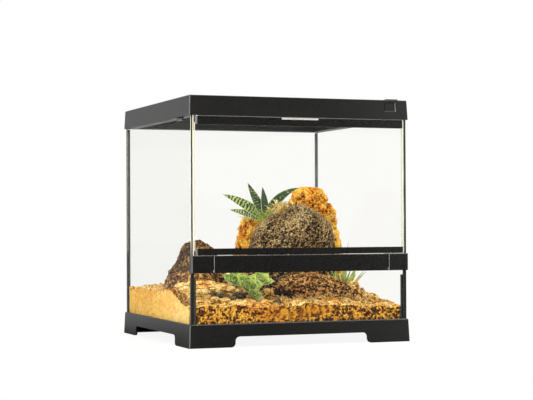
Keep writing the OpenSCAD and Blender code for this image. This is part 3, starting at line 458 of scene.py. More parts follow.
FINISHES = {
    satin_abs: "base_frame lid_frame screen_frame screen_button cable_shutter_left cable_shutter_right",
    rail_pvc: "bar_end_block_left bar_end_block_right bar_channel door_top_rail door_bottom_rail latch_bar",
    sealant: "silicone_seams",
    bright_steel: "door_strike_strip door_pivot_pins latch_pins screen_hinge_pins",
    nickel: "lid_magnet latch_magnets",
    sheet_aluminium: "vent_strip",
    dipped_wire: "screen_mesh",
    glass_front: "back_glass lower_front_glass door_glass",
    glass_left: "left_glass",
    glass_right: "right_glass",
    glass_floor: "bottom_glass",
    husk: "substrate_bed",
    tan_stone: "cone_rock",
    pale_stone: "ledge_rock",
    pumice: "dome_rock",
    orange_bark: "orange_rock",
    root_wood: "low_rock",
    dark_pebble: "small_stones",
    banded_leaf: "striped_plant",
    rosette_leaf: "rosette_plant",
    straw_leaf: "blade_plant",
}


def finish_nodes():
    """Gives every carried-over node its material."""
    for material, names in FINISHES.items():
        for name in names.split():
            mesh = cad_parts[name].data
            mesh.materials.clear()
            mesh.materials.append(material)


# ---- bed of substrate


def bell(x, y, at, half):
    """Bell-shaped share: e to the minus square of the distance from its middle in its two half widths."""
    return np.exp(-((x - at[0]) / half[0]) ** 2 - ((y - at[1]) / half[1]) ** 2)


def bed_height(x, y):
    """Height of the bed: low along the front, higher behind, lower at the right, with a bell-shaped
    mound at the left and slow lumps, which are sines of X and Y read as degrees for each millimetre."""
    xm, ym = np.radians(x / MM), np.radians(y / MM)
    return (BED_FRONT + BED_RISE * smooth((y + INNER) / BED_RAMP)
        - BED_FALL * smooth((x - FALL_START) / FALL_RAMP)
        + MOUND_RISE * bell(x, y, MOUND_AT, MOUND_HALF)
        + MM * (1.6 * np.sin(3.1 * xm + math.radians(40)) * np.cos(2.7 * ym)
                + 1.1 * np.sin(7.3 * xm + 5.1 * ym) + 0.8 * np.cos(11 * xm - 9 * ym)))


def swells(flat):
    """Slow swells of the bed: a fractal some 26 mm across and 2.4 mm high."""
    return 2.4 * MM * fractal(flat, 26 * MM, 3, 31)


CRUMB_SHADE = 0.34  # how hollow a crumb is halfway up
CRUMB_RISE, WALL_DENT = 1.9 * MM, 1.1 * MM


def crumble(points, seed):
    """Relief of loose crumbs from -1 to 1, a rough noise of four sizes, and how hollow each place is."""
    lumps = fractal(points, 7 * MM, 2, seed)
    relief = fractal(points, 2.6 * MM, 2, seed + 7)
    return 0.6 * relief + 0.4 * lumps, np.clip(CRUMB_SHADE - 0.62 * relief - 0.16 * lumps, 0, 1)


def wall_shade(wall, hollow, half):
    """Colour of the bed's walls. Along the front, a smooth golden wedge lies in the middle, a bell in Z
    eased in and out along X, with dark gaps between the crumbs to its left, painted shade, and browner
    crumbs to its right; the side walls are smooth, and paler towards the front. Returns how hollow and
    how even each place is."""
    x, y, z = np.moveaxis(wall, -1, 0)
    middle = 0.040 + 0.12 * np.clip(x, 0, 1)
    drift = 3 * MM * fractal(wall, 22 * MM, 2, 23)
    wedge = np.exp(-((z - middle + drift) / (8 * MM)) ** 2)
    wedge *= smooth((x + 0.066) / 0.04) * smooth((0.062 - x) / 0.04)
    brown = smooth((x + 3 * (0.05 - z) - 0.01) / 0.05)
    front = smooth(-12 * (y / half + 0.9))
    relief = hollow - CRUMB_SHADE
    rough = 0.72 + 0.13 * brown + relief * 1.45
    faced = np.clip(rough, 0.5, 1) * (1 - wedge) + (0.64 + 0.3 * relief) * wedge
    side = 0.36 - 0.16 * smooth((0.06 - y) / 0.14) + 0.2 * relief
    even = front * (0.4 + 0.4 * wedge) + (1 - front) * 0.75
    return np.clip(front * faced + (1 - front) * side, 0, 1), even


def dusk(x, y):
    """How shaded the bed's top is: between the lumps of the left heap, and in a bell in front of the
    hollow."""
    heap = smooth((-0.03 - x) / 0.02) * smooth((y + 0.134) / 0.012) * smooth((-0.038 - y) / 0.014)
    return 0.38 * heap + 0.5 * bell(x, y, (-0.022, -0.09), (0.015, 0.014))


def substrate():
    """The bed: a grid whose height is bed_height plus crumbs, joined at its edge to walls of rings that
    run down to the floor just inside the panes, and closed below. The walls are dented by crumbs."""
    across, wall_rings = 240, 30
    half = INNER - BED_GAP
    line = np.linspace(-half, half, across)
    x, y = np.meshgrid(line, line)
    over = np.maximum(np.abs(x) + np.abs(y) - (2 * half - BEAD_LEG), 0) / 2
    x, y = x - np.sign(x) * over, y - np.sign(y) * over
    flat = xyz(x, y, bed_height(x, y))
    relief, hollow = crumble(flat, 11)
    hollow = np.clip(hollow + dusk(x, y), 0, 1)
    inset = smooth((half - np.maximum(np.abs(x), np.abs(y))) / (2 * MM))
    lumps = swells(flat) * (0.4 + 0.6 * inset)
    top = flat + np.array([0, 0, 1]) * (CRUMB_RISE * relief + lumps)[..., None]
    index = np.arange(across * across).reshape(across, across)
    edge = np.concatenate([index[0, :-1], index[:-1, -1], index[-1, :0:-1], index[:0:-1, 0]])
    rim = top.reshape(-1, 3)[edge]
    share = np.linspace(1, 0, wall_rings + 1)[1:, None]
    wall = np.repeat(rim[None], wall_rings, axis=0)
    wall[..., 2] = BED_BASE + (rim[None, :, 2] - BED_BASE) * share
    wall_relief, wall_hollow = crumble(wall, 17)
    wall_hollow, wall_even = wall_shade(wall, wall_hollow, half)
    dent = WALL_DENT * (0.5 - 0.5 * wall_relief) * smooth(4 * share) * smooth(6 * (1 - share))
    wall[..., :2] -= np.sign(wall[..., :2]) * dent[..., None] * (np.abs(wall[..., :2]) > half - BEAD_LEG)
    base = across * across
    rows = np.concatenate([edge[None], base + np.arange(wall_rings * len(edge)).reshape(wall_rings, -1)])
    after = np.roll(rows, -1, axis=1)
    quads = np.concatenate([
        np.stack([index[:-1, :-1], index[:-1, 1:], index[1:, 1:], index[1:, :-1]], axis=-1).reshape(-1, 4),
        np.stack([rows[1:], after[1:], after[:-1], rows[:-1]], axis=-1).reshape(-1, 4)])
    pole = base + wall_rings * len(edge)
    triangles = np.stack([after[-1], rows[-1], np.full(len(edge), pole)], axis=-1)
    points = np.concatenate([top.reshape(-1, 3), wall.reshape(-1, 3), [[0, 0, BED_BASE]]])
    values = np.concatenate([hollow.ravel(), wall_hollow.ravel(), [0.5]])
    calm = np.concatenate([np.zeros(hollow.size), wall_even.ravel(), [0.5]])
    bed = piece("substrate_husk", points, quads, triangles, {"hollow": values, "even": calm}, husk)
    settled(bed, "substrate_bed")


def scattered(name, x, y, size, tall, shade, sink, rings, sides, random):
    """Loose crumbs: small dented balls, each a skin of rings between its poles. A ring's radius goes as
    the cosine of its steepness and its height as the sine. sink is the share of a crumb's size by
    which its middle lies above the bed."""
    count = len(x)
    flat = xyz(x, y, bed_height(x, y))
    z = flat[:, 2] + swells(flat) + sink * size
    climb = np.linspace(-0.5, 0.5, rings)[None, :, None]
    climb = climb + random.uniform(-0.08, 0.08, (count, rings, sides))
    angle = 2 * math.pi * (np.arange(sides) / sides + random.uniform(0, 1, (count, rings, 1)))
    steep = 1.9 * climb
    wide = np.cos(steep) * random.uniform(0.75, 1.15, (count, rings, sides))
    parts = xyz(wide * np.cos(angle), wide * np.sin(angle), tall * np.sin(steep))
    parts = parts * size[:, None, None, None] + xyz(x, y, z)[:, None, None]
    dark = np.repeat(shade, rings * sides).reshape(count, rings, sides)
    # Painted light and shade: each crumb is paler at its top and darker at its foot
    made = skins(name, parts, husk, {"hollow": np.clip(dark - 0.25 * climb, 0, 1)}, soft=False)
    settled(made)


FINE_CRUMBS, LEFT_LUMPS, RIGHT_LUMPS = 8600, 430, 90


def crumbs():
    """Fine crumbs over the whole bed, and bigger lumps heaped at the left and beside the root mass."""
    random = np.random.RandomState(5)
    count = FINE_CRUMBS
    size = MM * np.clip(random.lognormal(0.16, 0.42, count), 0.6, 3.4)
    room = INNER - BED_GAP - 1.1 * size
    x = random.uniform(-1, 1, count) * room
    y = random.uniform(-1, 1, count) * room
    keep = np.abs(x) + np.abs(y) < 2 * (INNER - BED_GAP) - BEAD_LEG - 1.5 * size
    shade = random.uniform(0, 0.8, count) ** 1.5 + dusk(x, y)
    scattered("substrate_crumbs", x[keep], y[keep], size[keep], 0.8, shade[keep], 0.35, 2, 5, random)

    count = LEFT_LUMPS + RIGHT_LUMPS
    left = np.arange(count) < LEFT_LUMPS
    x = MM * np.where(left, random.uniform(-136, -34, count), random.normal(119, 8, count))
    y = MM * np.where(left, random.uniform(-132, -44, count), random.normal(-52, 12, count))
    size = MM * np.where(left, random.uniform(2.4, 6.8, count), random.uniform(3, 5.5, count))
    sink = np.where(left, 0.5, 0.5 + 3.0 * np.exp(-((x / MM - 115) / 9) ** 2) * random.uniform(0, 1, count))
    shade = random.uniform(0, 1, count) ** 2 * 0.5
    keep = ((x + 0.084) / 0.03) ** 2 + ((y + 0.104) / 0.02) ** 2 > 1
    scattered("substrate_lumps", x[keep], y[keep], size[keep], 0.85, shade[keep], sink[keep], 5, 9, random)


# ---- rocks


def profiled(rows, half, rings, sides):
    """Rings of a rock. Each row is a height, a width share and the shift of the ring's middle in X and Y.
    The rows are joined by straight lines, then eased by a running mean; a ring is an ellipse with the
    two half widths times its share. Millimetres in, metres out."""
    rows = np.array(rows, float)
    step = np.concatenate([[0], np.cumsum(np.hypot(np.diff(rows[:, 0]), half[0] * np.diff(rows[:, 1])))])
    even = np.linspace(0, step[-1], rings)
    z, share, x, y = (np.interp(even, step, column) for column in rows.T)
    ease = rings // 24
    window = np.ones(2 * ease + 1) / (2 * ease + 1)
    z, share, x, y = (np.convolve(np.pad(v, ease, mode="edge"), window, "valid") for v in (z, share, x, y))
    turn = circle(sides)
    return MM * xyz(x[:, None] + half[0] * share[:, None] * np.cos(turn),
        y[:, None] + half[1] * share[:, None] * np.sin(turn), z[:, None])


def strokes(points, size, long, seed):
    """Noise drawn out into short strokes that rise to the right: a fractal read from places turned
    about Y and squeezed along the stroke, after a small random push."""
    push = points + 0.35 * size * xyz(*(noise(points, 1.6 * size, seed + 40 + k) for k in range(3)))
    slope = math.radians(32)
    along = push[..., 0] * math.cos(slope) + push[..., 2] * math.sin(slope)
    over = push[..., 2] * math.cos(slope) - push[..., 0] * math.sin(slope)
    return fractal(xyz(along / long, push[..., 1], over), size, 2, seed)


def porous(points, seed):
    """Slow swells less pits: the deep parts of a stroke noise, more of them where a broad zone says,
    which is mostly low on the rock. The pits are painted dark as shade, and the zone darkens the colour
    lower down too.
    """
    swell = 2.4 * MM * fractal(points, 30 * MM, 3, seed)
    rise = (points[..., 2] - 0.118) / 0.066
    zone = smooth(1.1 - 1.15 * rise + 0.6 * fractal(points, 30 * MM, 2, seed + 21))
    stroke = strokes(points, 1.9 * MM, 1.8, seed + 5)
    fine = fractal(points, 1.6 * MM, 1, seed + 9)
    pit = smooth(-1.9 * stroke - 0.1 - 0.5 * fine) * (0.1 + 0.9 * zone)
    hollow = np.clip(0.13 + 0.7 * pit + 0.33 * zone - 0.2 * fine - 0.12 * stroke, 0, 1)
    return swell - 1.7 * MM * pit + 0.6 * MM * fine, hollow


def crumbly(points, seed):
    """Crumbs heaped on crumbs: a rough noise of four sizes, with a few deep crevices along a ridge line.
    Proud crumbs are painted light, and the crevices and low places dark as shade.
    """
    rough = fractal(points, 7.5 * MM, 3, seed)
    fine = fractal(points, 2.0 * MM, 1, seed + 15)
    tall = points * np.array([1, 1, 0.6])
    crack = smooth(1 - 9 * np.abs(fractal(tall, 26 * MM, 3, seed + 30)))
    swell = 3.0 * MM * fractal(points, 34 * MM, 2, seed + 11)
    hollow = np.clip(0.27 + 0.34 * crack - 0.5 * rough - 0.5 * fine, 0, 1)
    return swell + 2.6 * MM * rough + 1.5 * MM * fine - 2.6 * MM * crack, hollow


def gritty(points, seed):
    """Rough stone: broken swells with small chips, painted dark as shade in the chips' seams and low
    places.
    """
    swell = fractal(points, 20 * MM, 4, seed)
    near, second = cells(points, 5 * MM, seed + 3)
    chip = smooth(1 - 2.6 * (second - near))
    fine = fractal(points, 2.8 * MM, 2, seed + 15)
    hollow = np.clip(0.36 + 0.3 * chip - 0.55 * fine - 0.35 * swell, 0, 1)
    return 2.8 * MM * swell - 1.2 * MM * chip + 1.1 * MM * fine, hollow


CAVE = np.array([-0.008, -0.092, 0.062])
CAVE_SIZE = np.array([0.023, 0.03, 0.011])


def fibrous(points, seed):
    """A mass of matted fibres: fine ridges that follow a slowly turning direction, with gaps; the ridges
    are painted light and the gaps dark as shade. A hollow in the shape of a soft ball is pressed in at
    CAVE and painted dark as shade. The foot is paler."""
    swirl = points + 7 * MM * xyz(*(noise(points, 22 * MM, seed + k) for k in range(3)))
    strand = 1 - np.abs(fractal(swirl * np.array([0.6, 1, 1.3]), 3.4 * MM, 2, seed + 4))
    swell = 3.0 * MM * fractal(points, 26 * MM, 3, seed + 8)
    fine = fractal(points, 2.4 * MM, 2, seed + 17)
    gap, _ = cells(points, 3.6 * MM, seed + 13)
    pit = smooth(1.1 - 2.0 * gap)
    cave = smooth(1.3 - np.linalg.norm((points - CAVE) / CAVE_SIZE, axis=-1))
    foot = smooth((0.068 - points[..., 2]) / 0.014)
    hollow = 0.78 - 1.1 * (strand - 0.35) + 0.3 * pit - 0.5 * fine - 0.3 * foot * (1 - cave) + 0.9 * cave
    height = swell + 2.6 * MM * (strand - 0.7) - 1.6 * MM * pit + 0.8 * MM * fine - 9 * MM * cave
    return height, np.clip(hollow, 0, 1)


# Each row: height, width share, and the shift of the middle in X and Y, in millimetres
DOME = [(44, 1.0, 46, 2), (90, 0.94, 45.5, 0), (122, 0.87, 45, -3), (138, 0.83, 45, -6),
    (151, 0.78, 46, -8), (161, 0.65, 47.5, -10), (167, 0.5, 50, -11), (173, 0.33, 52.5, -12),
    (178.5, 0.17, 52, -12), (184, 0.02, 52, -12)]
PEAK = [(46, 1.0, 94, 48), (123, 0.94, 97, 47), (144, 0.88, 96, 47), (154, 0.83, 94, 47),
    (173, 0.76, 92, 46), (181, 0.67, 92, 46), (196, 0.56, 92, 46), (205, 0.48, 92, 46),
    (208, 0.34, 92, 46), (208.5, 0.05, 92, 46)]
LOBE = [(48, 1.0, 15, 52), (104, 0.98, 16, 51), (122, 0.93, 17, 50), (134, 0.87, 17, 49),
    (154, 0.75, 16, 48), (163, 0.65, 15.5, 47), (166.5, 0.4, 15, 47), (167, 0.04, 15, 47)]
CONE = [(50, 1.0, -84, 28), (75, 0.95, -84, 28), (85, 0.87, -83, 28), (96, 0.76, -83, 27),
    (105, 0.63, -82, 27), (118, 0.5, -82, 26), (126, 0.4, -83, 26), (131, 0.27, -84, 25),
    (135.5, 0.05, -84, 25)]
LEDGE = [(46, 1.0, -110, -24), (70, 0.97, -110, -24), (84, 0.93, -109, -22), (90, 0.8, -109, -20),
    (91.5, 0.1, -109, -20)]
MASS = [(40, 1.0, 50, -74), (58, 0.97, 49, -73), (70, 0.85, 46.5, -72), (80, 0.66, 44.5, -71),
    (87, 0.4, 42, -70), (90.5, 0.08, 41, -69)]
# Each rock: piece, node, slot, material, rows, half widths in X and Y in millimetres, rings and sides,
# relief and seed. The lobe is a second piece of the orange rock, which the peak stands for.
ROCKS = [
    ("dome_pumice", "dome_rock", "dark_rock", pumice, DOME, (70, 56), (210, 440), porous, 3),
    ("orange_bark_peak", "orange_rock", "orange_rock", orange_bark, PEAK, (47, 36), (210, 300), crumbly, 2),
    ("orange_bark_lobe", "orange_rock", "orange_rock", orange_bark, LOBE, (41, 28), (160, 260), crumbly, 7),
    ("cone_sandstone", "cone_rock", "tan_rock", tan_stone, CONE, (45, 40), (120, 260), gritty, 5),
    ("ledge_sandstone", "ledge_rock", "pale_rock", pale_stone, LEDGE, (31, 25), (90, 160), gritty, 8),
    ("root_mass", "low_rock", "brown_rock", root_wood, MASS, (64, 28), (120, 340), fibrous, 4),
]


def rocks():
    """Each rock: its rings moved along their outward direction by its relief, and kept in its node's
    box."""
    for name, node, slot, material, rows, half, (rings, sides), relief, seed in ROCKS:
        grid = profiled(rows, half, rings, sides)
        height, hollow = relief(grid, seed)
        low, high = (np.array(c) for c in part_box(node))
        grid = np.clip(grid + outward(grid) * height[..., None], low, high)
        made = skins(name, grid[None], material, {"hollow": hollow[None]})
        settled(made, node if rows is not LOBE else None)


STONES = [(-92, -96, 9, 15), (-79, -104, 7, 12), (-68, -96, 10, 16), (-104, -108, 8, 11), (-20, -112, 6, 7)]


def pebbles():
    """Small stones: squashed balls whose radius goes as the cosine of the climb, dented by noise.
    Each row of STONES is a place in X and Y, a half width and a height above the bed's front."""
    angle = np.linspace(-math.pi / 2 * 0.9, math.pi / 2 * 0.9, 26)[:, None]
    turn = circle(40)
    parts = []
    for x, y, half, rise in STONES:
        low = bed_height(x * MM, y * MM) - 4 * MM
        top = BED_FRONT + rise * MM
        wide = half * MM * np.cos(angle)
        parts.append(xyz(x * MM + wide * np.cos(turn), y * MM + 0.8 * wide * np.sin(turn),
            (low + top) / 2 + (top - low) / 2 * np.sin(angle)))
    parts = np.stack(parts)
    dent = 1.6 * MM * fractal(parts, 6 * MM, 3, 41)
    normal = np.stack([outward(part) for part in parts])
    # Painted light and shade: dents are darker and bumps paler
    hollow = np.clip(0.4 - 240 * dent, 0, 1)
    made = skins("dark_pebbles", parts + normal * dent[..., None], dark_pebble, {"hollow": hollow})
    settled(made, "small_stones")


# ---- plants


def leaf(length, width, thick, rise, bend, roll=0.0, belly=0.3, cup=0.18, taper=0.85, rings=26, sides=14):
    """One leaf from the origin along +X: its middle line is an arc that starts at the rise angle and
    bends down, its half width swells to the belly and narrows to a point, sooner with a high taper,
    and its section is a lens whose edges curl up by the cup share. roll turns its face about its own
    length. Angles in degrees; the bend is never 0."""
    v = np.linspace(0, 1, rings)[:, None]
    u = circle(sides)
    turn = math.radians(bend)
    first = math.radians(rise)
    heading = first - turn * v
    reach = length / turn
    swell = np.where(v < belly, 0.55 + 0.45 * np.sin(math.pi / 2 * v / belly),
        np.cos(math.pi / 2 * np.clip((v - belly) / (1.005 - belly), 0, 1)) ** taper)
    half = width / 2 * swell
    deep = thick / 2 * (1 - 0.7 * v) * np.sqrt(np.clip(1.02 - v, 0, 1))
    lift = deep * np.sin(u) + cup * half * np.cos(u) ** 2
    side = half * np.cos(u)
    c, s = math.cos(math.radians(roll)), math.sin(math.radians(roll))
    y = side * c - lift * s
    n = side * s + lift * c
    x = reach * (math.sin(first) - np.sin(heading)) - np.sin(heading) * n
    z = reach * (np.cos(heading) - math.cos(first)) + np.cos(heading) * n
    return xyz(x, y, z)[::-1], (v + 0 * u)[::-1], (np.cos(u) + 0 * v)[::-1]


def turned(points, heading, tilt=(0, 0, 0), at=(0, 0, 0)):
    """Points turned about +Z by the heading, then about X, Y and Z by the tilt, and moved. Degrees."""
    spin = Matrix.Rotation(math.radians(heading), 3, "Z")
    for angle, axis in zip(tilt, "XYZ"):
        spin = Matrix.Rotation(math.radians(angle), 3, axis) @ spin
    return points @ np.array(spin).T + np.array(at)


def plant(name, node, material, leaves):
    """Leaves as one piece, which stands for a node where one is named. Each leaf has its points, the way
    along and across it, and its pallor."""
    parts, along, across = (np.stack([row[k] for row in leaves]) for k in range(3))
    pallor = np.stack([row[3] + 0 * row[1] for row in leaves])
    made = skins(name, parts, material, {"along": along, "across": across, "pallor": pallor})
    settled(made, node)


STRIPED_AT = (0.010, 0.006, 0.160)
# Each leaf: heading, length, width, rise, bend, roll, pallor
STRIPED_LEAVES = [(163, 71, 15.5, 44, 24, -62, 0.1), (154, 59, 17, 63, -3, -42, -0.7),
    (104, 48, 12, 82, 4, -10, -1.3), (-8, 68, 16, 74, 58, 48, -0.8), (172, 54, 13, 24, 14, -55, 0.1),
    (-20, 26, 9, 12, 4, 30, -0.9), (30, 30, 10, 50, 26, 20, -1.0), (200, 30, 11, 40, 24, -30, 0.0)]
HEART_LEAVES = [(236, 15, 10, 46, 20, 0, 0.6), (300, 15, 11, 50, 24, 0, 0.6), (265, 16, 10, 66, 20, 0, 0.6),
    (330, 16, 9, 66, 20, 10, 0.6), (190, 16, 9, 70, 18, -10, 0.6)]


def striped_plant():
    """Long leaves round one foot, and short young leaves in front that show only the heart colour."""
    rows = []
    for share, leaves in ((1.0, STRIPED_LEAVES), (0.3, HEART_LEAVES)):
        for heading, length, width, rise, bend, roll, pallor in leaves:
            points, along, across = leaf(length * MM, width * MM, 4 * MM, rise, bend, roll, belly=0.4)
            rows.append((turned(points, heading, at=STRIPED_AT), share * along, across, pallor))
    plant("striped_leaves", "striped_plant", banded_leaf, rows)


# Each rosette: place in X and Y, height above the bed's front, radius, leaves, tilt, pallor
ROSETTES = [((-54, -92), 22, 24, 17, (58, 0, 0), 0.3), ((-65, -72), 28, 21, 14, (46, -16, 0), -0.5),
    ((-28, -74), 28, 19, 14, (46, 14, 0), 0.6), ((-52, -108), 11, 15, 13, (60, 0, 20), 0.4)]


def rosettes():
    """Pointed leaves set round each middle by the golden angle, shorter and steeper towards it."""
    rows = []
    for (x, y), rise, radius, count, tilt, pallor in ROSETTES:
        at = np.array([x * MM, y * MM, BED_FRONT + rise * MM])
        for k in range(count):
            t = k / (count - 1)
            points, along, across = leaf(radius * MM * (1.04 - 0.62 * t), radius * MM * (0.68 - 0.26 * t),
                radius * MM * 0.12, 12 + 62 * t, -26, belly=0.42, cup=0.34, taper=1.5, rings=18)
            rows.append((turned(points, GOLDEN * k, tilt, at), along, across, pallor))
    plant("rosette_leaves", "rosette_plant", rosette_leaf, rows)


def stalks():
    """A thin tapered stalk under each rosette: a skin of circles from the bed up to its middle."""
    v = np.linspace(0, 1, 8)[:, None]
    u = circle(12)
    parts = []
    for (x, y), rise, _, _, _, _ in ROSETTES:
        low = bed_height(x * MM, y * MM) - 3 * MM
        top = BED_FRONT + rise * MM
        r = MM * (2.2 + v)
        parts.append(xyz(x * MM + r * np.cos(u), y * MM + r * np.sin(u), low + (top - low) * v))
    parts = np.stack(parts)
    made = skins("rosette_stalks", parts, root_wood, {"hollow": np.full(parts.shape[:-1], 0.5)})
    settled(made)


BLADES_AT = (0.104, -0.042, BED_FRONT - 2 * MM)
BLADES = 24


def blades():
    """Upright blades round one foot by the golden angle, two of them tall and thin. The others lean out
    further one after the other."""
    rows = []
    for k in range(BLADES):
        tall = k % 12 == 3
        length = 88 if tall else 44 + 5 * (k % 4)
        width, rise = (4, 84) if tall else (6.5, 86 - 1.5 * k)
        points, along, across = leaf(length * MM, width * MM, 1.2 * MM, rise, 10, 30 * math.sin(3 * k),
            belly=0.35, cup=0.4, rings=18, sides=10)
        heading = GOLDEN * k + 20
        rows.append((turned(points, heading, at=BLADES_AT), along, across, 0.8 * math.sin(5 * k)))
    plant("straw_blades", "blade_plant", straw_leaf, rows)


# Each tuft of dry fibres: its middle and its half sizes in X, Y and Z, all in millimetres, and its count
TUFTS = [((34, 0, 177), (14, 6, 7), 230), ((24, 4, 172), (12, 6, 5), 110), ((-4, 22, 162), (14, 8, 2), 30),
    ((103, 2, 148), (7, 6, 18), 90)]


def tufts():
    """Dry fibres on the rocks: each a thin four-sided skin along an arc, which leaves its foot in a
    random direction and bends back towards the ground."""
    random = np.random.RandomState(9)
    rows = []
    for middle, half, count in TUFTS:
        for _ in range(count):
            foot = MM * (np.array(middle) + np.array(half) * random.uniform(-1, 1, 3))
            points, along, across = leaf(random.uniform(7, 14) * MM, random.uniform(1.8, 3.0) * MM,
                1.2 * MM, random.uniform(20, 80), random.uniform(40, 150), rings=9, sides=4)
            rows.append((turned(points, random.uniform(0, 360), at=foot), 0.5 + 0 * along, 0.3 * across,
                random.uniform(-2.4, 0.6)))
    plant("dry_fibres", None, dry_fibre, rows)


# ---- screen


def woven_screen():
    """Woven wire: straight rows of wires both ways, each weaving over and under the others as a
    triangle wave, with a four-sided section. The pitch is drawn at 2.7 mm, coarser than insect mesh,
    so that it shows."""
    low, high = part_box("screen_mesh")
    wire = 0.42 * MM
    pitch = 2.7 * MM
    level = (low[2] + high[2]) / 2
    swing = (high[2] - low[2]) / 2 - wire / 2
    margin = 2 * MM
    count = int((high[0] - low[0] - 2 * margin) / pitch)
    rings = count + 2
    u = (np.arange(4) * math.pi / 2)[None, None, :]
    i, k = np.arange(count)[:, None, None], np.arange(rings)[None, :, None]
    beside = (i - (count - 1) / 2) * pitch
    along = (k - (rings - 1) / 2) * pitch
    wave = swing * np.where((i + k) % 2 == 0, 1, -1)
    width = beside + wire / 2 * np.cos(u)
    height = level + wave + wire / 2 * np.sin(u)
    centre = (low[1] + high[1]) / 2
    for name, parts in (("screen_wires_across", xyz(along, width + centre, height)),
                        ("screen_wires_along", xyz(-width, along + centre, 2 * level - height))):
        made = skins(name, parts[:, ::-1], dipped_wire, soft=False)
        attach(made, "screen")
        if name.endswith("across"):
            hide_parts("screen_mesh")


# ---- studio

PHOTO_WIDTH = 533
SENSOR = 36.0
FOCAL_PX = 1500.3
CAMERA_AT = (-0.7317, -1.9460, 0.15768)
YAW, PITCH, ROLL = math.radians(20.8417), math.radians(0.8689), math.radians(-0.2302)


def camera():
    """The photograph's viewpoint: its axes are the view direction and the picture's right and up."""
    ahead = np.array([math.sin(YAW) * math.cos(PITCH), math.cos(YAW) * math.cos(PITCH), math.sin(PITCH)])
    right = np.array([math.cos(YAW), -math.sin(YAW), 0])
    up = np.cross(right, ahead)
    right, up = (math.cos(ROLL) * right + math.sin(ROLL) * up, math.cos(ROLL) * up - math.sin(ROLL) * right)
    data = bpy.data.cameras.new("camera")
    data.sensor_width = SENSOR
    data.lens = FOCAL_PX / PHOTO_WIDTH * SENSOR
    data.clip_start, data.clip_end = 0.05, 60
    made = linked("camera", data)
    rows = [[right[k], up[k], -ahead[k], CAMERA_AT[k]] for k in range(3)]
    made.matrix_world = Matrix(rows + [[0, 0, 0, 1]])
    bpy.context.scene.camera = made


def lamp(name, at, target, size, strength, tone, sheen):
    """A soft rectangular lamp at a place, facing a target; strength is the light that its face sends
    out. A sheen lamp shows only in glossy surfaces."""
    data = bpy.data.lights.new(name, "AREA")
    data.shape = "RECTANGLE"
    data.size, data.size_y = size
    data.energy = strength * size[0] * size[1] * math.pi
    data.color = linear(tone)[:3]
    made = linked(name, data)
    made.matrix_world = (Matrix.Translation(at)
        @ (Vector(target) - Vector(at)).to_track_quat("-Z", "Y").to_matrix().to_4x4())
    made.visible_camera = False
    made.visible_diffuse = not sheen
    made.visible_transmission = not sheen


def seen(tree, behind):
    """1 for what the camera or glass shows, and for what mirrors show where behind is 1; 0 for light
    that falls on things."""
    path = add(tree, "LightPath").outputs
    mirrored = add(tree, "Math", {0: path["Is Glossy Ray"], 1: behind}, operation="MULTIPLY")
    first = add(tree, "Math", {0: path["Is Camera Ray"], 1: mirrored}, operation="MAXIMUM")
    return add(tree, "Math", {0: first, 1: path["Is Transmission Ray"]}, operation="MAXIMUM")


def backwards(tree, vector, start, end, most):
    """How far a vector's Y lies on the way from start to end, from 0 to the most."""
    y = add(tree, "SeparateXYZ", {0: vector}).outputs["Y"]
    return add(tree, "MapRange", {0: y, 1: start, 2: end, 4: most})


FILL, DIM_ROOM = 0.55, 0.12  # strengths of the world for light, and for mirrors that face the front
FLOOR_HALF = 14.0
# Up to the first radius a tenth of the floor's look is its own paint; past the second it is all glow
PAINT_REACH, GLOW_FROM = 0.25, 0.6
# Each lamp: name, place, target, width and height, strength, colour, and whether only gloss shows it
LAMPS = [
    ("key", (-0.6, -2.1, 2.3), (0, 0, 0.12), (1.2, 1.2), 15.0, "#fff6ea", False),
    ("left strip", (-2.3, -0.9, 0.35), (0, 0, 0.2), (0.5, 1.6), 18.0, WHITE, False),
    ("right card", (1.6, -1.7, 0.45), (0, 0, 0.2), (0.7, 1.2), 4.0, WHITE, False),
    ("top", (0.8, -0.3, 2.4), (0, 0, 0.15), (1.4, 1.4), 5.0, WHITE, False),
    ("corner sheen", (-0.98, -0.36, 0.14), (0, 0, 0.14), (2.9, 0.8), 6.0, WHITE, True),
]


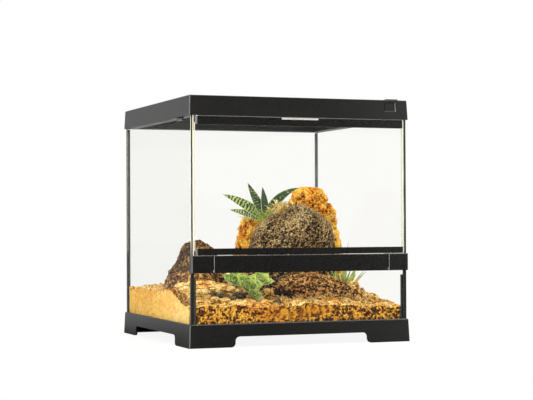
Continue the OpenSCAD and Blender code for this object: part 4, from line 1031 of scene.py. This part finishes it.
def surroundings():
    """The world: a white sweep behind, and a dim room in front, which only mirrors see."""
    world = bpy.data.worlds.new("studio")
    bpy.context.scene.world = world
    world.use_nodes = True
    tree = world.node_tree
    tree.nodes.clear()
    sweep = backwards(tree, add(tree, "TexCoord").outputs["Generated"], -0.1, 0.5, 0.5)
    fill, room, white = (add(tree, "Background", {0: linear(tone), 1: strength})
        for tone, strength in (("#f4f5f6", FILL), ("#f4f5f6", DIM_ROOM), (WHITE, 1.0)))
    glossy = add(tree, "LightPath").outputs["Is Glossy Ray"]
    around = add(tree, "MixShader", {0: glossy, 1: fill, 2: room})
    both = add(tree, "MixShader", {0: seen(tree, sweep), 1: around, 2: white})
    add(tree, "OutputWorld", {0: both})


def ground():
    """Pale studio floor: a little paint under a glow for the camera, so that it shows white and keeps
    the shadow; mirrors in front see it dim, as the room there is."""
    made, tree = blank("pale studio floor")
    place = add(tree, "NewGeometry").outputs["Position"]
    sweep = backwards(tree, place, 0.2, 0.6, 0.6)
    glossy = add(tree, "LightPath").outputs["Is Glossy Ray"]
    tone = add(tree, "Mix", {0: glossy, 6: linear("#f2f2f0"), 7: linear("#3c3c3b")}, data_type="RGBA")
    paint = add(tree, "BsdfDiffuse", {0: tone.outputs[2]})
    glow = add(tree, "Emission", {0: linear(WHITE), 1: 1.0})
    far = add(tree, "VectorMath", {0: place}, operation="LENGTH").outputs["Value"]
    lit = add(tree, "MapRange", {0: far, 1: PAINT_REACH, 2: GLOW_FROM, 3: 0.9, 4: 1.0})
    shown = add(tree, "MixShader", {0: lit, 1: paint, 2: glow})
    both = add(tree, "MixShader", {0: seen(tree, sweep), 1: paint, 2: shown})
    add(tree, "OutputMaterial", {0: both})
    corners = FLOOR_HALF * np.array([[-1, -1, 0], [1, -1, 0], [1, 1, 0], [-1, 1, 0]])
    floor = piece("floor", corners, np.array([[0, 1, 2, 3]]), np.zeros((0, 3), int), {}, made)


def studio():
    """White behind, a dim room in front, a pale floor and five soft lamps."""
    surroundings()
    ground()
    for row in LAMPS:
        lamp(*row)
    bpy.context.scene.view_settings.view_transform = "Standard"


camera()
studio()
finish_nodes()
substrate()
crumbs()
rocks()
pebbles()
striped_plant()
rosettes()
stalks()
blades()
tufts()
woven_screen()
